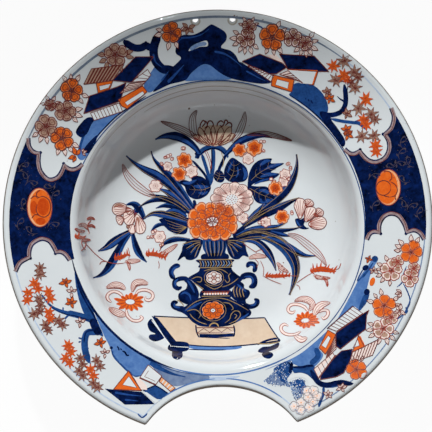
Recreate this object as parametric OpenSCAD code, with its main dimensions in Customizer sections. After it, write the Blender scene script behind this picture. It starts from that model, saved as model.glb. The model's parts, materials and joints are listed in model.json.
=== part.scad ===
// A porcelain barber's bowl: a round well, a broad sloping brim with a notch for the neck
// and two hanging holes, a foot ring, and the glaze that coats them all but the foot's edge.
// The origin is the centre of the foot ring on the table. +Z is up and the notch faces -Y.

/* [Bowl] */
// Diameter across the rim
rim_d = 270; // [255:1:300]
// Height from the table to the top of the lip
height = 62; // [58:1:72]
// Thickness of the wall and the brim, glaze included
wall_t = 5.4; // [4:0.1:7]

/* [Well] */
// Diameter of the well at the edge of the brim
well_d = 187; // [175:1:195]
// Depth of the middle of the well's floor below the edge of the brim
well_depth = 36; // [34:1:39]
// Slope of the dished floor where it turns up into the side, in degrees
floor_slope = 3; // [1:0.5:5]
// Radius of the hollow between the floor and the side
hollow_r = 30; // [22:1:36]
// Slope of the well's side, in degrees
side_slope = 74; // [68:1:80]
// Radius of the rounded shoulder between the side and the brim
shoulder_r = 7.8; // [7.2:0.1:10]

/* [Brim] */
// Slope of the brim, rising outwards, in degrees
brim_slope = 16; // [10:1:20]

/* [Neck notch] */
// Radius of the notch that fits the neck
notch_r = 56; // [46:1:66]
// How far the notch reaches in from the rim
notch_reach = 33; // [26:0.5:38]

/* [Hanging holes] */
// Diameter of each hole in the glaze
hole_d = 3.6; // [2.5:0.1:5]
// Distance between the two holes
hole_pitch = 23.4; // [14:0.2:40]
// Distance from the rim to the holes
hole_inset = 6.4; // [5.5:0.1:12]

/* [Foot ring] */
// Outer diameter of the ring where it meets the well
foot_d = 124; // [100:1:140]
// Width of the ring where it meets the well
foot_root_w = 7.5; // [5:0.1:10]
// Width of the flat edge that the bowl stands on
foot_edge_w = 2.8; // [1.8:0.1:4.5]
// Height of the bare band left at the edge of the ring
bare_h = 1.8; // [1:0.1:3]

/* [Glaze] */
// Thickness of the glaze
glaze_t = 0.5; // [0.3:0.05:0.8]

/* [Hidden] */
$fn = 240;

// Steps along each arc of the section
floor_steps = 4;
arc_steps = 22;
lip_steps = 16;
// How far a cutting shape runs past what it cuts
overrun = 5;

paste_colour = "#e9e2d6";
glaze_colour = "#dfe6e8";

rim_r = rim_d / 2;
well_r = well_d / 2;

// The lip is a half round of the wall's own thickness, with its crown at the full height
lip_r = wall_t / 2;
lip_c = [rim_r - lip_r, height - lip_r];
lip_face = lip_c + lip_r * [-sin(brim_slope), cos(brim_slope)];

// Height of the brim's face at a distance from the axis
function brim_z(r) = lip_face[1] + (r - lip_face[0]) * tan(brim_slope);

// The face runs from the dished floor through the hollow and up the straight side, then over the shoulder
edge_z = brim_z(well_r);
floor_z = edge_z - well_depth;
shoulder_c = [well_r, edge_z] + shoulder_r * [sin(brim_slope), -cos(brim_slope)];

// What the floor and the straight side have to span together, once the two arcs have taken their share
span_r = well_r - hollow_r * (sin(side_slope) - sin(floor_slope))
    - shoulder_r * (sin(side_slope) - sin(brim_slope));
span_z = well_depth - hollow_r * (cos(floor_slope) - cos(side_slope))
    - shoulder_r * (cos(brim_slope) - cos(side_slope));
floor_rise = tan(floor_slope / 2);
side_l = (span_z - floor_rise * span_r) / (sin(side_slope) - floor_rise * cos(side_slope));

// The floor's own radius in plan, the radius of its dish, and the centre of the hollow
floor_r = span_r - side_l * cos(side_slope);
dish_r = floor_r / sin(floor_slope);
hollow_c = [0, floor_z + dish_r] + (dish_r - hollow_r) * [sin(floor_slope), -cos(floor_slope)];

// Distance from the axis to the middle of the notch
notch_mid_r = rim_r - notch_reach;

hole_circle_r = rim_r - hole_inset;
hole_angle = asin(hole_pitch / 2 / hole_circle_r);

foot_mid_r = foot_d / 2 - foot_root_w / 2;

function reversed(points) = [for (i = [len(points) - 1 : -1 : 0]) points[i]];

// A line of the wall's section at a depth below its face, from the axis out to the brim's edge
function section_line(depth) = concat(
    [for (i = [0 : floor_steps - 1])
        let (a = floor_slope * i / floor_steps)
        [0, floor_z + dish_r] + (dish_r + depth) * [sin(a), -cos(a)]],
    [for (i = [0 : arc_steps])
        let (a = floor_slope + (side_slope - floor_slope) * i / arc_steps)
        hollow_c + (hollow_r + depth) * [sin(a), -cos(a)]],
    [for (i = [0 : arc_steps])
        let (a = side_slope + (brim_slope - side_slope) * i / arc_steps)
        shoulder_c + (shoulder_r - depth) * [-sin(a), cos(a)]]
);

// The half round of the lip, from the face over the crown to the back
function lip_line(inset) = [for (i = [0 : lip_steps])
    let (a = 90 + brim_slope - 180 * i / lip_steps)
    lip_c + (lip_r - inset) * [cos(a), sin(a)]];

// Height of the middle of the wall at a distance from the axis, under the floor and the hollow
function mid_wall_z(r) = r < floor_r
    ? floor_z + dish_r - sqrt(pow(dish_r + wall_t / 2, 2) - pow(r, 2))
    : hollow_c[1] - sqrt(pow(hollow_r + wall_t / 2, 2) - pow(r - hollow_c[0], 2));

// Section of the well and the brim, drawn in from every surface by the inset
module wall_section(inset) {
    polygon(concat(section_line(inset), lip_line(inset), reversed(section_line(wall_t - inset))));
}

// A point on the foot ring's tapering side at a height, drawn in by the coat: side is 1 outside and -1 inside
function foot_side(side, z, coat) =
    let (
        root = foot_mid_r + side * foot_root_w / 2,
        edge = foot_mid_r + side * foot_edge_w / 2,
        share = z / mid_wall_z(root)
    )
    [edge + (root - edge) * share - side * coat, z];

// The foot's root is buried to the middle of the wall that it carries
function foot_root(side, coat) = foot_side(side, mid_wall_z(foot_mid_r + side * foot_root_w / 2), coat);

// Section of the foot ring at its full size, glaze included
module foot_section() {
    polygon([foot_side(-1, 0, 0), foot_side(1, 0, 0), foot_root(1, 0), foot_root(-1, 0)]);
}

// Section of the foot ring's paste: bare to the bare band's height, then thinner by the glaze
module foot_paste_section() {
    polygon([
        foot_side(-1, 0, 0), foot_side(1, 0, 0),
        foot_side(1, bare_h, 0), foot_side(1, bare_h, glaze_t), foot_root(1, glaze_t),
        foot_root(-1, glaze_t), foot_side(-1, bare_h, glaze_t), foot_side(-1, bare_h, 0)
    ]);
}

// The round cut that fits the neck, square to the brim at its middle
module notch_cut(inset) {
    translate([0, -notch_mid_r, brim_z(notch_mid_r)])
        rotate([-brim_slope, 0, 0])
            translate([0, -notch_r, -notch_r])
                cylinder(h = 2 * notch_r, r = notch_r + inset);
}

// The pair of holes, each square to the brim
module hole_cuts(inset) {
    for (side = [-1, 1])
        rotate([0, 0, 90 + side * hole_angle])
            translate([hole_circle_r, 0, brim_z(hole_circle_r)])
                rotate([0, -brim_slope, 0])
                    translate([0, 0, -wall_t - overrun])
                        cylinder(h = wall_t + 2 * overrun, r = hole_d / 2 + inset, $fn = 48);
}

// The whole well and brim in one, drawn in by the inset, with the notch and the holes cut
module bowl_form(inset) {
    difference() {
        rotate_extrude() wall_section(inset);
        notch_cut(inset);
        hole_cuts(inset);
    }
}

// The round block that parts the well from the brim
module well_zone() {
    translate([0, 0, -overrun]) cylinder(h = height + 2 * overrun, r = well_r);
}

// The space inside the foot ring, up to the middle of the wall above it
module base_zone() {
    rotate_extrude()
        intersection() {
            polygon(concat([[0, -overrun]], section_line(wall_t / 2), [[rim_r, -overrun]]));
            translate([0, -overrun]) square([foot_mid_r, height]);
        }
}

// All that the glaze lies between: the finished outside, less the paste
module whole_glaze() {
    difference() {
        union() {
            bowl_form(0);
            rotate_extrude() difference() {
                foot_section();
                wall_section(glaze_t);
            }
        }
        bowl_form(glaze_t);
        rotate_extrude() foot_paste_section();
    }
}

// Floor and curved side of the well
module well() {
    color(paste_colour) intersection() {
        bowl_form(glaze_t);
        well_zone();
    }
}

// Broad ledge with the neck notch and the hanging holes
module brim() {
    color(paste_colour) difference() {
        bowl_form(glaze_t);
        well_zone();
    }
}

// Ring that the bowl stands on, joined under the well
module foot_ring() {
    color(paste_colour) rotate_extrude() difference() {
        foot_paste_section();
        wall_section(glaze_t);
    }
}

// Glaze over the face, the lip, the notch, the back and the outside of the foot
module glaze_coat() {
    color(glaze_colour) difference() {
        whole_glaze();
        base_zone();
    }
}

// Glaze over the base inside the foot ring
module base_glaze() {
    color(glaze_colour) intersection() {
        whole_glaze();
        base_zone();
    }
}

well();
brim();
foot_ring();
glaze_coat();
base_glaze();
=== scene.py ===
# %% [markdown]
# A painted porcelain barber's bowl. The real one was thrown on a wheel, its brim was cut to fit a neck,
# and it was glazed and painted by hand. This lesson makes the glazed body first, then a brush that lays
# thin films of pigment on it, and then the painting, motif by motif, in a painter's order: washes, dark
# strokes, enamels, gold.

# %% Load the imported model
import json
import math
import random

import bmesh
import bpy
from mathutils import Matrix, Vector

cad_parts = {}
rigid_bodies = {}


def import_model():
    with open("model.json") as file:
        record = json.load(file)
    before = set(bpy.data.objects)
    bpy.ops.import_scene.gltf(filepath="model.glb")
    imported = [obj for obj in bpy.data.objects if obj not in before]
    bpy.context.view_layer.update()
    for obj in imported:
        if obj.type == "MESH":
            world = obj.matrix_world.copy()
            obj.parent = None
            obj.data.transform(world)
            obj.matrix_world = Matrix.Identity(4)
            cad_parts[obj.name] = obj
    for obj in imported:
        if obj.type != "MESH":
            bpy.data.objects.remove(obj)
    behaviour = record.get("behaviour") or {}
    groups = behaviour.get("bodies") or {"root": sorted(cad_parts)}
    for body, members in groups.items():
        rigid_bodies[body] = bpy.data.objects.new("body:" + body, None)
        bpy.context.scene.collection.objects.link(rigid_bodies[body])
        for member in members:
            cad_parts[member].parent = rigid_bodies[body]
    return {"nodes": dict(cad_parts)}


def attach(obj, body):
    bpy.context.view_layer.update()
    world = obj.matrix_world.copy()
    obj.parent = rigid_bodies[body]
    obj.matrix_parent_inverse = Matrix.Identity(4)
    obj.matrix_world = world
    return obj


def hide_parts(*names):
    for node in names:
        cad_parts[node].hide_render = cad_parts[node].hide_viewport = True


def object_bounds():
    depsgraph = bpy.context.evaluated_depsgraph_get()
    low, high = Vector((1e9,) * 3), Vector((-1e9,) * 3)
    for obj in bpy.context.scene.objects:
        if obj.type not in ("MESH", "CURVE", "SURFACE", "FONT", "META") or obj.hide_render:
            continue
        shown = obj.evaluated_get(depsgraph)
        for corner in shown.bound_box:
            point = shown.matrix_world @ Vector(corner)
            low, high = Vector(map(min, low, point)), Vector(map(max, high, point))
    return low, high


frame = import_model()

CAD_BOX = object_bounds()
MM = 0.001


def in_mm(box):
    """The corners of a box in metres, in millimetres."""
    return [[round(c / MM, 1) for c in corner] for corner in box]


print("nodes:", sorted(frame["nodes"]), "box in mm:", in_mm(CAD_BOX))

# %% [markdown]
# The bowl's section is a chain of arcs and straight lines: a dished floor, a hollow, a straight side, a
# round shoulder, a sloping brim and a half-round lip. Sizes are in millimetres. The rim and the height
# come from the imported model, and the rest are the model's own sizes. A function gives the height of the
# painted face at any distance from the axis, and every brush stroke later asks it where the glaze is.

# %% The section of the bowl
RIM_R = CAD_BOX[1].x / MM
HEIGHT = CAD_BOX[1].z / MM
WALL = 5.4
WELL_R = 93.5
WELL_DEPTH = 36.0
HOLLOW_R = 30.0
SHOULDER_R = 7.8
BRIM_SLOPE = math.radians(16)
SIDE_SLOPE = math.radians(74)
FLOOR_SLOPE = math.radians(3)
BRIM_SAG = 0.5

lip_centre_r = RIM_R - WALL / 2
lip_centre_z = HEIGHT - WALL / 2
lip_face_r = lip_centre_r - WALL / 2 * math.sin(BRIM_SLOPE)
lip_face_z = lip_centre_z + WALL / 2 * math.cos(BRIM_SLOPE)


def cone_height(r):
    """Height of the brim's cone at a distance from the axis."""
    return lip_face_z + (r - lip_face_r) * math.tan(BRIM_SLOPE)


def brim_height(r):
    """Height of the brim's face, which sags a little below its cone between the well and the lip."""
    share = min(max((r - WELL_R) / (lip_face_r - WELL_R), 0), 1)
    return cone_height(r) - 4 * BRIM_SAG * share * (1 - share)


edge_z = brim_height(WELL_R)
floor_z = edge_z - WELL_DEPTH
shoulder_r = WELL_R + SHOULDER_R * math.sin(BRIM_SLOPE)
shoulder_z = edge_z - SHOULDER_R * math.cos(BRIM_SLOPE)

arcs_r = HOLLOW_R * (math.sin(SIDE_SLOPE) - math.sin(FLOOR_SLOPE))
arcs_r += SHOULDER_R * (math.sin(SIDE_SLOPE) - math.sin(BRIM_SLOPE))
arcs_z = HOLLOW_R * (math.cos(FLOOR_SLOPE) - math.cos(SIDE_SLOPE))
arcs_z += SHOULDER_R * (math.cos(BRIM_SLOPE) - math.cos(SIDE_SLOPE))
floor_rise = math.tan(FLOOR_SLOPE / 2)
side_length = WELL_DEPTH - arcs_z - floor_rise * (WELL_R - arcs_r)
side_length /= math.sin(SIDE_SLOPE) - floor_rise * math.cos(SIDE_SLOPE)
floor_r = WELL_R - arcs_r - side_length * math.cos(SIDE_SLOPE)
dish_r = floor_r / math.sin(FLOOR_SLOPE)
hollow_r = (dish_r - HOLLOW_R) * math.sin(FLOOR_SLOPE)
hollow_z = floor_z + dish_r - (dish_r - HOLLOW_R) * math.cos(FLOOR_SLOPE)
side_foot_r = hollow_r + HOLLOW_R * math.sin(SIDE_SLOPE)
side_foot_z = hollow_z - HOLLOW_R * math.cos(SIDE_SLOPE)
side_top_r = shoulder_r - SHOULDER_R * math.sin(SIDE_SLOPE)


def face_height(r):
    """Height of the painted face at a distance from the axis."""
    if r <= floor_r:
        return floor_z + dish_r - math.sqrt(dish_r**2 - r**2)
    if r <= side_foot_r:
        return hollow_z - math.sqrt(HOLLOW_R**2 - (r - hollow_r) ** 2)
    if r <= side_top_r:
        return side_foot_z + (r - side_foot_r) * math.tan(SIDE_SLOPE)
    if r <= WELL_R:
        return shoulder_z + math.sqrt(SHOULDER_R**2 - (r - shoulder_r) ** 2)
    if r <= lip_face_r:
        return brim_height(r)
    return lip_centre_z + math.sqrt(max((WALL / 2) ** 2 - (r - lip_centre_r) ** 2, 0))


print("floor at", round(floor_z, 2), "edge at", round(edge_z, 2), "flat floor radius", round(floor_r, 1))

# %% [markdown]
# Seen from above, the outline is the rim's circle with the neck notch cut into it. The notch is a round
# cut square to the sloping brim, so its edge on the brim is found by meeting a tilted cylinder with the
# brim's cone, which is one quadratic for each direction. A smooth minimum joins the two and rounds the
# horns a little.

# %% The outline of the brim
NOTCH_R = 56.0
NOTCH_MID_R = RIM_R - 33.0
HORN_ROUND = 2.2
STEP_DEG = 1.2
HORN_STEP_DEG = 0.3
HORN_ZONE_DEG = 4.0
SEARCH_STEP = math.radians(0.05)
RIM_EDGE_R = lip_face_r + WALL / 2 * math.cos(BRIM_SLOPE)

cut_axis = Vector((0, math.sin(BRIM_SLOPE), math.cos(BRIM_SLOPE)))
cut_out = Vector((0, -math.cos(BRIM_SLOPE), math.sin(BRIM_SLOPE)))
cut_centre = Vector((0, -NOTCH_MID_R, cone_height(NOTCH_MID_R))) + NOTCH_R * cut_out


def notch_distance(angle):
    """Distance from the axis to the notch's edge on the brim, or None where the notch isn't."""
    along = Vector((math.cos(angle), math.sin(angle), math.tan(BRIM_SLOPE)))
    start = Vector((0, 0, cone_height(0))) - cut_centre
    along -= along.dot(cut_axis) * cut_axis
    start -= start.dot(cut_axis) * cut_axis
    a = along.length_squared
    b = start.dot(along)
    root = b * b - a * (start.length_squared - NOTCH_R**2)
    return (-b - math.sqrt(root)) / a if root > 0 and b < 0 else None


def edge_distance(angle):
    """Distance from the axis to the edge of the brim's face, rim or notch."""
    notch = notch_distance(angle)
    if notch is None:
        return RIM_EDGE_R
    near = max(HORN_ROUND - abs(notch - RIM_EDGE_R), 0) / HORN_ROUND
    return min(notch, RIM_EDGE_R) - near * near * HORN_ROUND / 4


def horn_angle():
    """Angle from the notch's middle to a horn, where the notch meets the rim."""
    turn = 0.0
    while (notch_distance(turn - math.pi / 2) or RIM_EDGE_R) < RIM_EDGE_R:
        turn += SEARCH_STEP
    return turn


HORN = horn_angle()
angles = []
angle = -math.pi
while angle < math.pi - math.radians(HORN_STEP_DEG) / 2:
    angles.append(angle)
    near_horn = abs(abs(angle + math.pi / 2) - HORN) < math.radians(HORN_ZONE_DEG)
    angle += math.radians(HORN_STEP_DEG if near_horn else STEP_DEG)
brim_outline = [Vector((math.cos(a), math.sin(a), 0)) * edge_distance(a) for a in angles]
print("horns at", round(math.degrees(HORN), 2), "degrees;", len(brim_outline), "outline points")

# %% [markdown]
# The glazed body is drawn up like clay on a wheel. A small disc of faces makes the middle of the floor,
# and its edge is extruded again and again, each new ring of vertices moved to its own place on the
# section: up the well, over the brim, round the lip, back under, down the foot and in to the base. In the
# notch the lip is a cut face with only its corners softened.

# %% Rings of the face
LIP_CORNER_R = 2.1
NOTCH_CORNER_R = 1.2
LIP_BLEND = 4.0
FLOOR_RINGS = 7
HOLLOW_RINGS = 20
SHOULDER_RINGS = 12
BRIM_RINGS = 16
LIP_STEPS = 7


def section_stations():
    """Points of the well's section from near the axis to the brim, each with its slope."""
    stations = []
    for i in range(1, FLOOR_RINGS):
        slope = FLOOR_SLOPE * i / FLOOR_RINGS
        stations.append((dish_r * math.sin(slope), floor_z + dish_r * (1 - math.cos(slope)), slope))
    for i in range(HOLLOW_RINGS + 1):
        slope = FLOOR_SLOPE + (SIDE_SLOPE - FLOOR_SLOPE) * i / HOLLOW_RINGS
        stations.append((hollow_r + HOLLOW_R * math.sin(slope), hollow_z - HOLLOW_R * math.cos(slope), slope))
    for i in range(SHOULDER_RINGS + 1):
        slope = SIDE_SLOPE + (BRIM_SLOPE - SIDE_SLOPE) * i / SHOULDER_RINGS
        r = shoulder_r - SHOULDER_R * math.sin(slope)
        stations.append((r, shoulder_z + SHOULDER_R * math.cos(slope), slope))
    return stations


def round_ring(r, z):
    """A level ring of points at a distance from the axis."""
    return [Vector((r * math.cos(a), r * math.sin(a), z)) for a in angles]


def brim_normal(point):
    """Upward normal of the brim's cone over a point."""
    flat = Vector((point.x, point.y, 0)).normalized()
    inwards = -math.sin(BRIM_SLOPE)
    return Vector((flat.x * inwards, flat.y * inwards, math.cos(BRIM_SLOPE)))


def on_brim(point):
    """The same point set at the height of the brim's face."""
    return Vector((point.x, point.y, brim_height(math.hypot(point.x, point.y))))


edge_points = [on_brim(p) for p in brim_outline]
edge_up = [brim_normal(p) for p in edge_points]
edge_out = []
for i, up in enumerate(edge_up):
    run = brim_outline[(i + 1) % len(brim_outline)] - brim_outline[i - 1]
    out = Vector((run.y, -run.x, 0))
    edge_out.append((out - out.dot(up) * up).normalized())
corner_r = []
for p in brim_outline:
    cut_share = min(max((RIM_EDGE_R - p.length) / LIP_BLEND, 0), 1)
    cut_share *= cut_share * (3 - 2 * cut_share)
    corner_r.append(LIP_CORNER_R + (NOTCH_CORNER_R - LIP_CORNER_R) * cut_share)
face_edge = [on_brim(p - r * o) for p, r, o in zip(edge_points, corner_r, edge_out)]


def brim_ring(share, depth):
    """A ring on the brim, a share of the way from the well to the edge, at a depth below the face."""
    ring = []
    for start, end in zip(round_ring(WELL_R, edge_z), face_edge):
        point = on_brim(start.lerp(end, share))
        ring.append(point - depth * brim_normal(point))
    return ring


def lip_ring(turn, lower, lift=0.0):
    """A ring round the lip's upper or lower corner: turn runs from 0 to a right angle."""
    ring = []
    for p, up, out, r in zip(edge_points, edge_up, edge_out, corner_r):
        if lower:
            way = math.cos(turn) * out - math.sin(turn) * up
        else:
            way = math.cos(turn) * up + math.sin(turn) * out
        ring.append(p - r * out - (WALL - r if lower else r) * up + (r + lift) * way)
    return ring


well_rings = [round_ring(r, z) for r, z, slope in section_stations()]
brim_rings = [brim_ring(i / BRIM_RINGS, 0) for i in range(1, BRIM_RINGS + 1)]
lip_rings = [lip_ring(math.pi / 2 * i / LIP_STEPS, False) for i in range(1, LIP_STEPS + 1)]
lip_rings += [lip_ring(math.pi / 2 * i / LIP_STEPS, True) for i in range(LIP_STEPS + 1)]
print(len(well_rings), "rings in the well,", len(brim_rings), "on the brim,", len(lip_rings), "round the lip")

# %% Rings of the back, the foot and the base
FOOT_ROOT_R = 62.0
FOOT_ROOT_W = 7.5
FOOT_EDGE_W = 2.8
BARE_H = 1.8
FOOT_FILLET = 2.0
FILLET_GAP = 0.3
FILLET_STEPS = 4
BASE_RINGS = 8

foot_mid_r = FOOT_ROOT_R - FOOT_ROOT_W / 2
base_z = floor_z - WALL
back_rings = [brim_ring(i / BRIM_RINGS, WALL) for i in range(BRIM_RINGS - 1, 0, -1)]
for r, z, slope in reversed(section_stations()):
    back_r = r + WALL * math.sin(slope)
    back_z = z - WALL * math.cos(slope)
    if back_r > FOOT_ROOT_R + FOOT_FILLET:
        back_rings.append(round_ring(back_r, back_z))
        root_z = back_z


def foot_side(z, side):
    """Distance from the axis to the foot ring's side at a height: side is 1 outside and -1 inside."""
    share = z / root_z
    return foot_mid_r + side * (FOOT_EDGE_W + (FOOT_ROOT_W - FOOT_EDGE_W) * share) / 2


foot_rings = []
for i in range(1, FILLET_STEPS + 1):
    turn = math.pi / 2 * i / FILLET_STEPS
    z = root_z - FOOT_FILLET * (1 - math.cos(turn)) - FILLET_GAP
    foot_rings.append(round_ring(foot_side(z, 1) + FOOT_FILLET * (1 - math.sin(turn)), z))
for rise, side in ((2, 1), (0.3, 1), (0, 1), (0, -1), (0.3, -1), (2, -1)):
    foot_rings.append(round_ring(foot_side(BARE_H + rise, side), BARE_H + rise))
for i in range(FILLET_STEPS + 1):
    turn = math.pi / 2 * i / FILLET_STEPS
    z = base_z - FOOT_FILLET * (1 - math.sin(turn))
    foot_rings.append(round_ring(foot_side(z, -1) - FOOT_FILLET * (1 - math.cos(turn)), z))
base_r = foot_side(base_z, -1) - FOOT_FILLET
base_rings = [round_ring(base_r * i / BASE_RINGS, base_z) for i in range(BASE_RINGS - 1, 0, -1)]
print("rings on the back, foot and base:", len(back_rings), len(foot_rings), len(base_rings))

# %% Draw the rings up into a closed body


def piece_from(bm, name):
    """Turns a bmesh in millimetres into an object in metres, which rides on the bowl."""
    bmesh.ops.scale(bm, vec=(MM, MM, MM), verts=bm.verts)
    mesh = bpy.data.meshes.new(name)
    bm.to_mesh(mesh)
    bm.free()
    piece = bpy.data.objects.new(name, mesh)
    bpy.context.scene.collection.objects.link(piece)
    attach(piece, "root")
    return piece


def grow_ring(bm, ring, places):
    """Extrudes a closed ring of vertices and moves the new ring to its places, in the same order."""
    count = len(ring)
    edges = [bm.edges.get((ring[i], ring[(i + 1) % count])) for i in range(count)]
    made = bmesh.ops.extrude_edge_only(bm, edges=edges)["geom"]
    fresh = {v for v in made if isinstance(v, bmesh.types.BMVert)}
    grown = []
    for old, place in zip(ring, places):
        new = next(e.other_vert(old) for e in old.link_edges if e.other_vert(old) in fresh)
        new.co = place
        grown.append(new)
    return grown


bm = bmesh.new()
first = bmesh.ops.create_circle(bm, cap_ends=True, cap_tris=True, segments=len(angles), radius=1)["verts"]
centre = max(first, key=lambda v: len(v.link_edges))
centre.co = Vector((0, 0, floor_z))
ring = [v for v in first if v is not centre]
ring.sort(key=lambda v: math.atan2(v.co.y, v.co.x))
all_rings = well_rings + brim_rings + lip_rings + back_rings + foot_rings + base_rings
for vert, place in zip(ring, all_rings[0]):
    vert.co = place
for places in all_rings[1:]:
    ring = grow_ring(bm, ring, places)
bmesh.ops.contextual_create(bm, geom=[bm.edges.get((ring[i - 1], ring[i])) for i in range(len(ring))])
bmesh.ops.recalc_face_normals(bm, faces=bm.faces)
print("body:", len(bm.faces), "faces, closed:", all(e.is_manifold for e in bm.edges))
glazed_body = piece_from(bm, "glazed_body")
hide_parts("well", "brim", "glaze_coat", "base_glaze")

# %% [markdown]
# The two hanging holes were pierced square to the brim. They are cut from the body with a Boolean
# modifier and two drills, and the result is stored back in the mesh, so no modifier is left on the piece.

# %% Pierce the hanging holes
HOLE_D = 3.6
HOLE_PITCH = 23.4
HOLE_CIRCLE_R = RIM_R - 6.4
DRILL_LENGTH = 16.0
DRILL_SIDES = 40
SHARP_ANGLE = math.radians(40)

bm = bmesh.new()
for side in (-1, 1):
    x = side * HOLE_PITCH / 2
    spot = on_brim(Vector((x, math.sqrt(HOLE_CIRCLE_R**2 - x**2), 0)))
    place = brim_normal(spot).to_track_quat("Z", "Y").to_matrix().to_4x4()
    place.translation = spot
    drill = {"radius1": HOLE_D / 2, "radius2": HOLE_D / 2, "depth": DRILL_LENGTH}
    bmesh.ops.create_cone(bm, cap_ends=True, segments=DRILL_SIDES, matrix=place, **drill)
drills = piece_from(bm, "drills")
cut = glazed_body.modifiers.new("holes", "BOOLEAN")
cut.operation = "DIFFERENCE"
cut.solver = "EXACT"
cut.object = drills
bpy.context.view_layer.update()
pierced = bpy.data.meshes.new_from_object(glazed_body.evaluated_get(bpy.context.evaluated_depsgraph_get()))
glazed_body.modifiers.clear()
glazed_body.data = pierced
bpy.data.objects.remove(drills)
pierced.shade_smooth()
pierced.set_sharp_from_angle(angle=SHARP_ANGLE)
print("pierced body has", len(pierced.polygons), "faces")

# %% [markdown]
# The foot's edge is the one bare place: the potter wipes the glaze off so that the bowl doesn't stick to
# the kiln shelf. It is a section of four points, spun round the axis, with its corners bevelled as if
# worn.

# %% The bare edge of the foot
EDGE_WEAR = 0.35
TURN_STEPS = 240

bm = bmesh.new()
section = [(0, -1), (0, 1), (BARE_H, 1), (BARE_H, -1)]
verts = [bm.verts.new((foot_side(z, side), 0, z)) for z, side in section]
edges = [bm.edges.new((verts[i - 1], verts[i])) for i in range(len(verts))]
turning = {"cent": (0, 0, 0), "axis": (0, 0, 1), "angle": math.tau, "steps": TURN_STEPS}
bmesh.ops.spin(bm, geom=verts + edges, use_merge=True, **turning)
bmesh.ops.remove_doubles(bm, verts=bm.verts, dist=0.001)
bmesh.ops.recalc_face_normals(bm, faces=bm.faces)
worn = [e for e in bm.edges if all(v.co.z < 0.01 for v in e.verts) and e.calc_face_angle(0) > 1]
bmesh.ops.bevel(bm, geom=worn, offset=EDGE_WEAR, affect="EDGES", segments=3, profile=0.5, material=-1)
print("foot edge:", len(bm.faces), "faces, closed:", all(e.is_manifold for e in bm.edges))
foot_edge = piece_from(bm, "foot_edge")
foot_edge.data.shade_smooth()
foot_edge.data.set_sharp_from_angle(angle=SHARP_ANGLE)
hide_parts("foot_ring")

# %% [markdown]
# Every finish here is a fired one: a clear glaze, pigments under it or fused on to it, worn gold, and a
# little bare paste. Colours are written as the eye sees them, in sRGB hex, and one function turns them to
# the linear values that a shader wants. One more adds a node, sets it and links it. A Mix node has several
# sockets of one name, so they go by number: 0 is the share, 2 and 3 are values, and 6 and 7 are colours.

# %% Colour and node helpers


def linear(hex_colour):
    """An sRGB hex colour as linear red, green, blue and alpha."""
    channels = [int(hex_colour[i : i + 2], 16) / 255 for i in (0, 2, 4)]
    return [c / 12.92 if c <= 0.04045 else ((c + 0.055) / 1.055) ** 2.4 for c in channels] + [1.0]


def set_inputs(node, inputs):
    """Links each input that is another node's output, and sets every other one."""
    for name, value in inputs.items():
        if isinstance(value, bpy.types.NodeSocket):
            node.id_data.links.new(value, node.inputs[name])
        else:
            node.inputs[name].default_value = value


def add_node(tree, kind, inputs, **settings):
    """Adds a shader node with its settings and inputs."""
    node = tree.nodes.new("ShaderNode" + kind)
    for name, value in settings.items():
        setattr(node, name, value)
    set_inputs(node, inputs)
    return node


def new_finish(name):
    """A new material, with its node tree, its shader and its Object coordinates."""
    material = bpy.data.materials.new(name)
    material.use_nodes = True
    tree = material.node_tree
    where = add_node(tree, "TexCoord", {}).outputs["Object"]
    return material, tree, tree.nodes["Principled BSDF"], where


def per_metre(size_mm):
    """Texture scale that gives a pattern of this size in millimetres on Object coordinates."""
    return 1 / (size_mm * MM)


print("porcelain white in linear light:", [round(c, 3) for c in linear("DEE2E5")])

# %% [markdown]
# The glaze over the porcelain is a thin glass with a bluish tint. Up close it isn't one white: it clouds
# where it pooled, it carries iron specks, and its surface undulates. A noise mixes the whites, a Voronoi
# pattern with its cells cut down to dots makes the specks, and a soft bump stirs the reflections.

# %% Clear glaze on porcelain
CLOUD_MM = 30.0
SPECK_CELL_MM = 12.0
SPECK_SHARE = 0.026
SPECK_FADE = 1.8
SPECK_DEPTH = 0.45
RIPPLE_MM = 14.0

porcelain, tree, shader, where = new_finish("glazed_porcelain")
cloud = add_node(tree, "TexNoise", {"Vector": where, "Scale": per_metre(CLOUD_MM), "Detail": 4.0})
cells = add_node(tree, "TexVoronoi", {"Vector": where, "Scale": per_metre(SPECK_CELL_MM)})
limits = {"From Min": SPECK_SHARE, "From Max": SPECK_SHARE * SPECK_FADE, "To Min": SPECK_DEPTH, "To Max": 0.0}
speck = add_node(tree, "MapRange", {"Value": cells.outputs["Distance"], **limits})
whites = {0: cloud.outputs["Fac"], 6: linear("D9DDE0"), 7: linear("E2E5E7")}
white = add_node(tree, "Mix", whites, data_type="RGBA")
specks = {0: speck.outputs["Result"], 6: white.outputs[2], 7: linear("7A6450")}
specked = add_node(tree, "Mix", specks, data_type="RGBA")
ripple = add_node(tree, "TexNoise", {"Vector": where, "Scale": per_metre(RIPPLE_MM), "Detail": 1.0})
bump = add_node(tree, "Bump", {"Height": ripple.outputs["Fac"], "Strength": 0.25, "Distance": 0.0006})
set_inputs(shader, {"Base Color": specked.outputs[2], "Normal": bump.outputs["Normal"]})
set_inputs(shader, {"Roughness": 0.06, "IOR": 1.5})
glazed_body.data.materials.clear()
glazed_body.data.materials.append(porcelain)
print("glaze:", len(tree.nodes), "nodes")

# %% [markdown]
# Bare fired paste shows on the foot's edge: dry, matt, a little warm and gritty, and soiled from use.

# %% Bare paste
GRIT_MM = 0.8
SOIL_MM = 12.0

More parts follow.
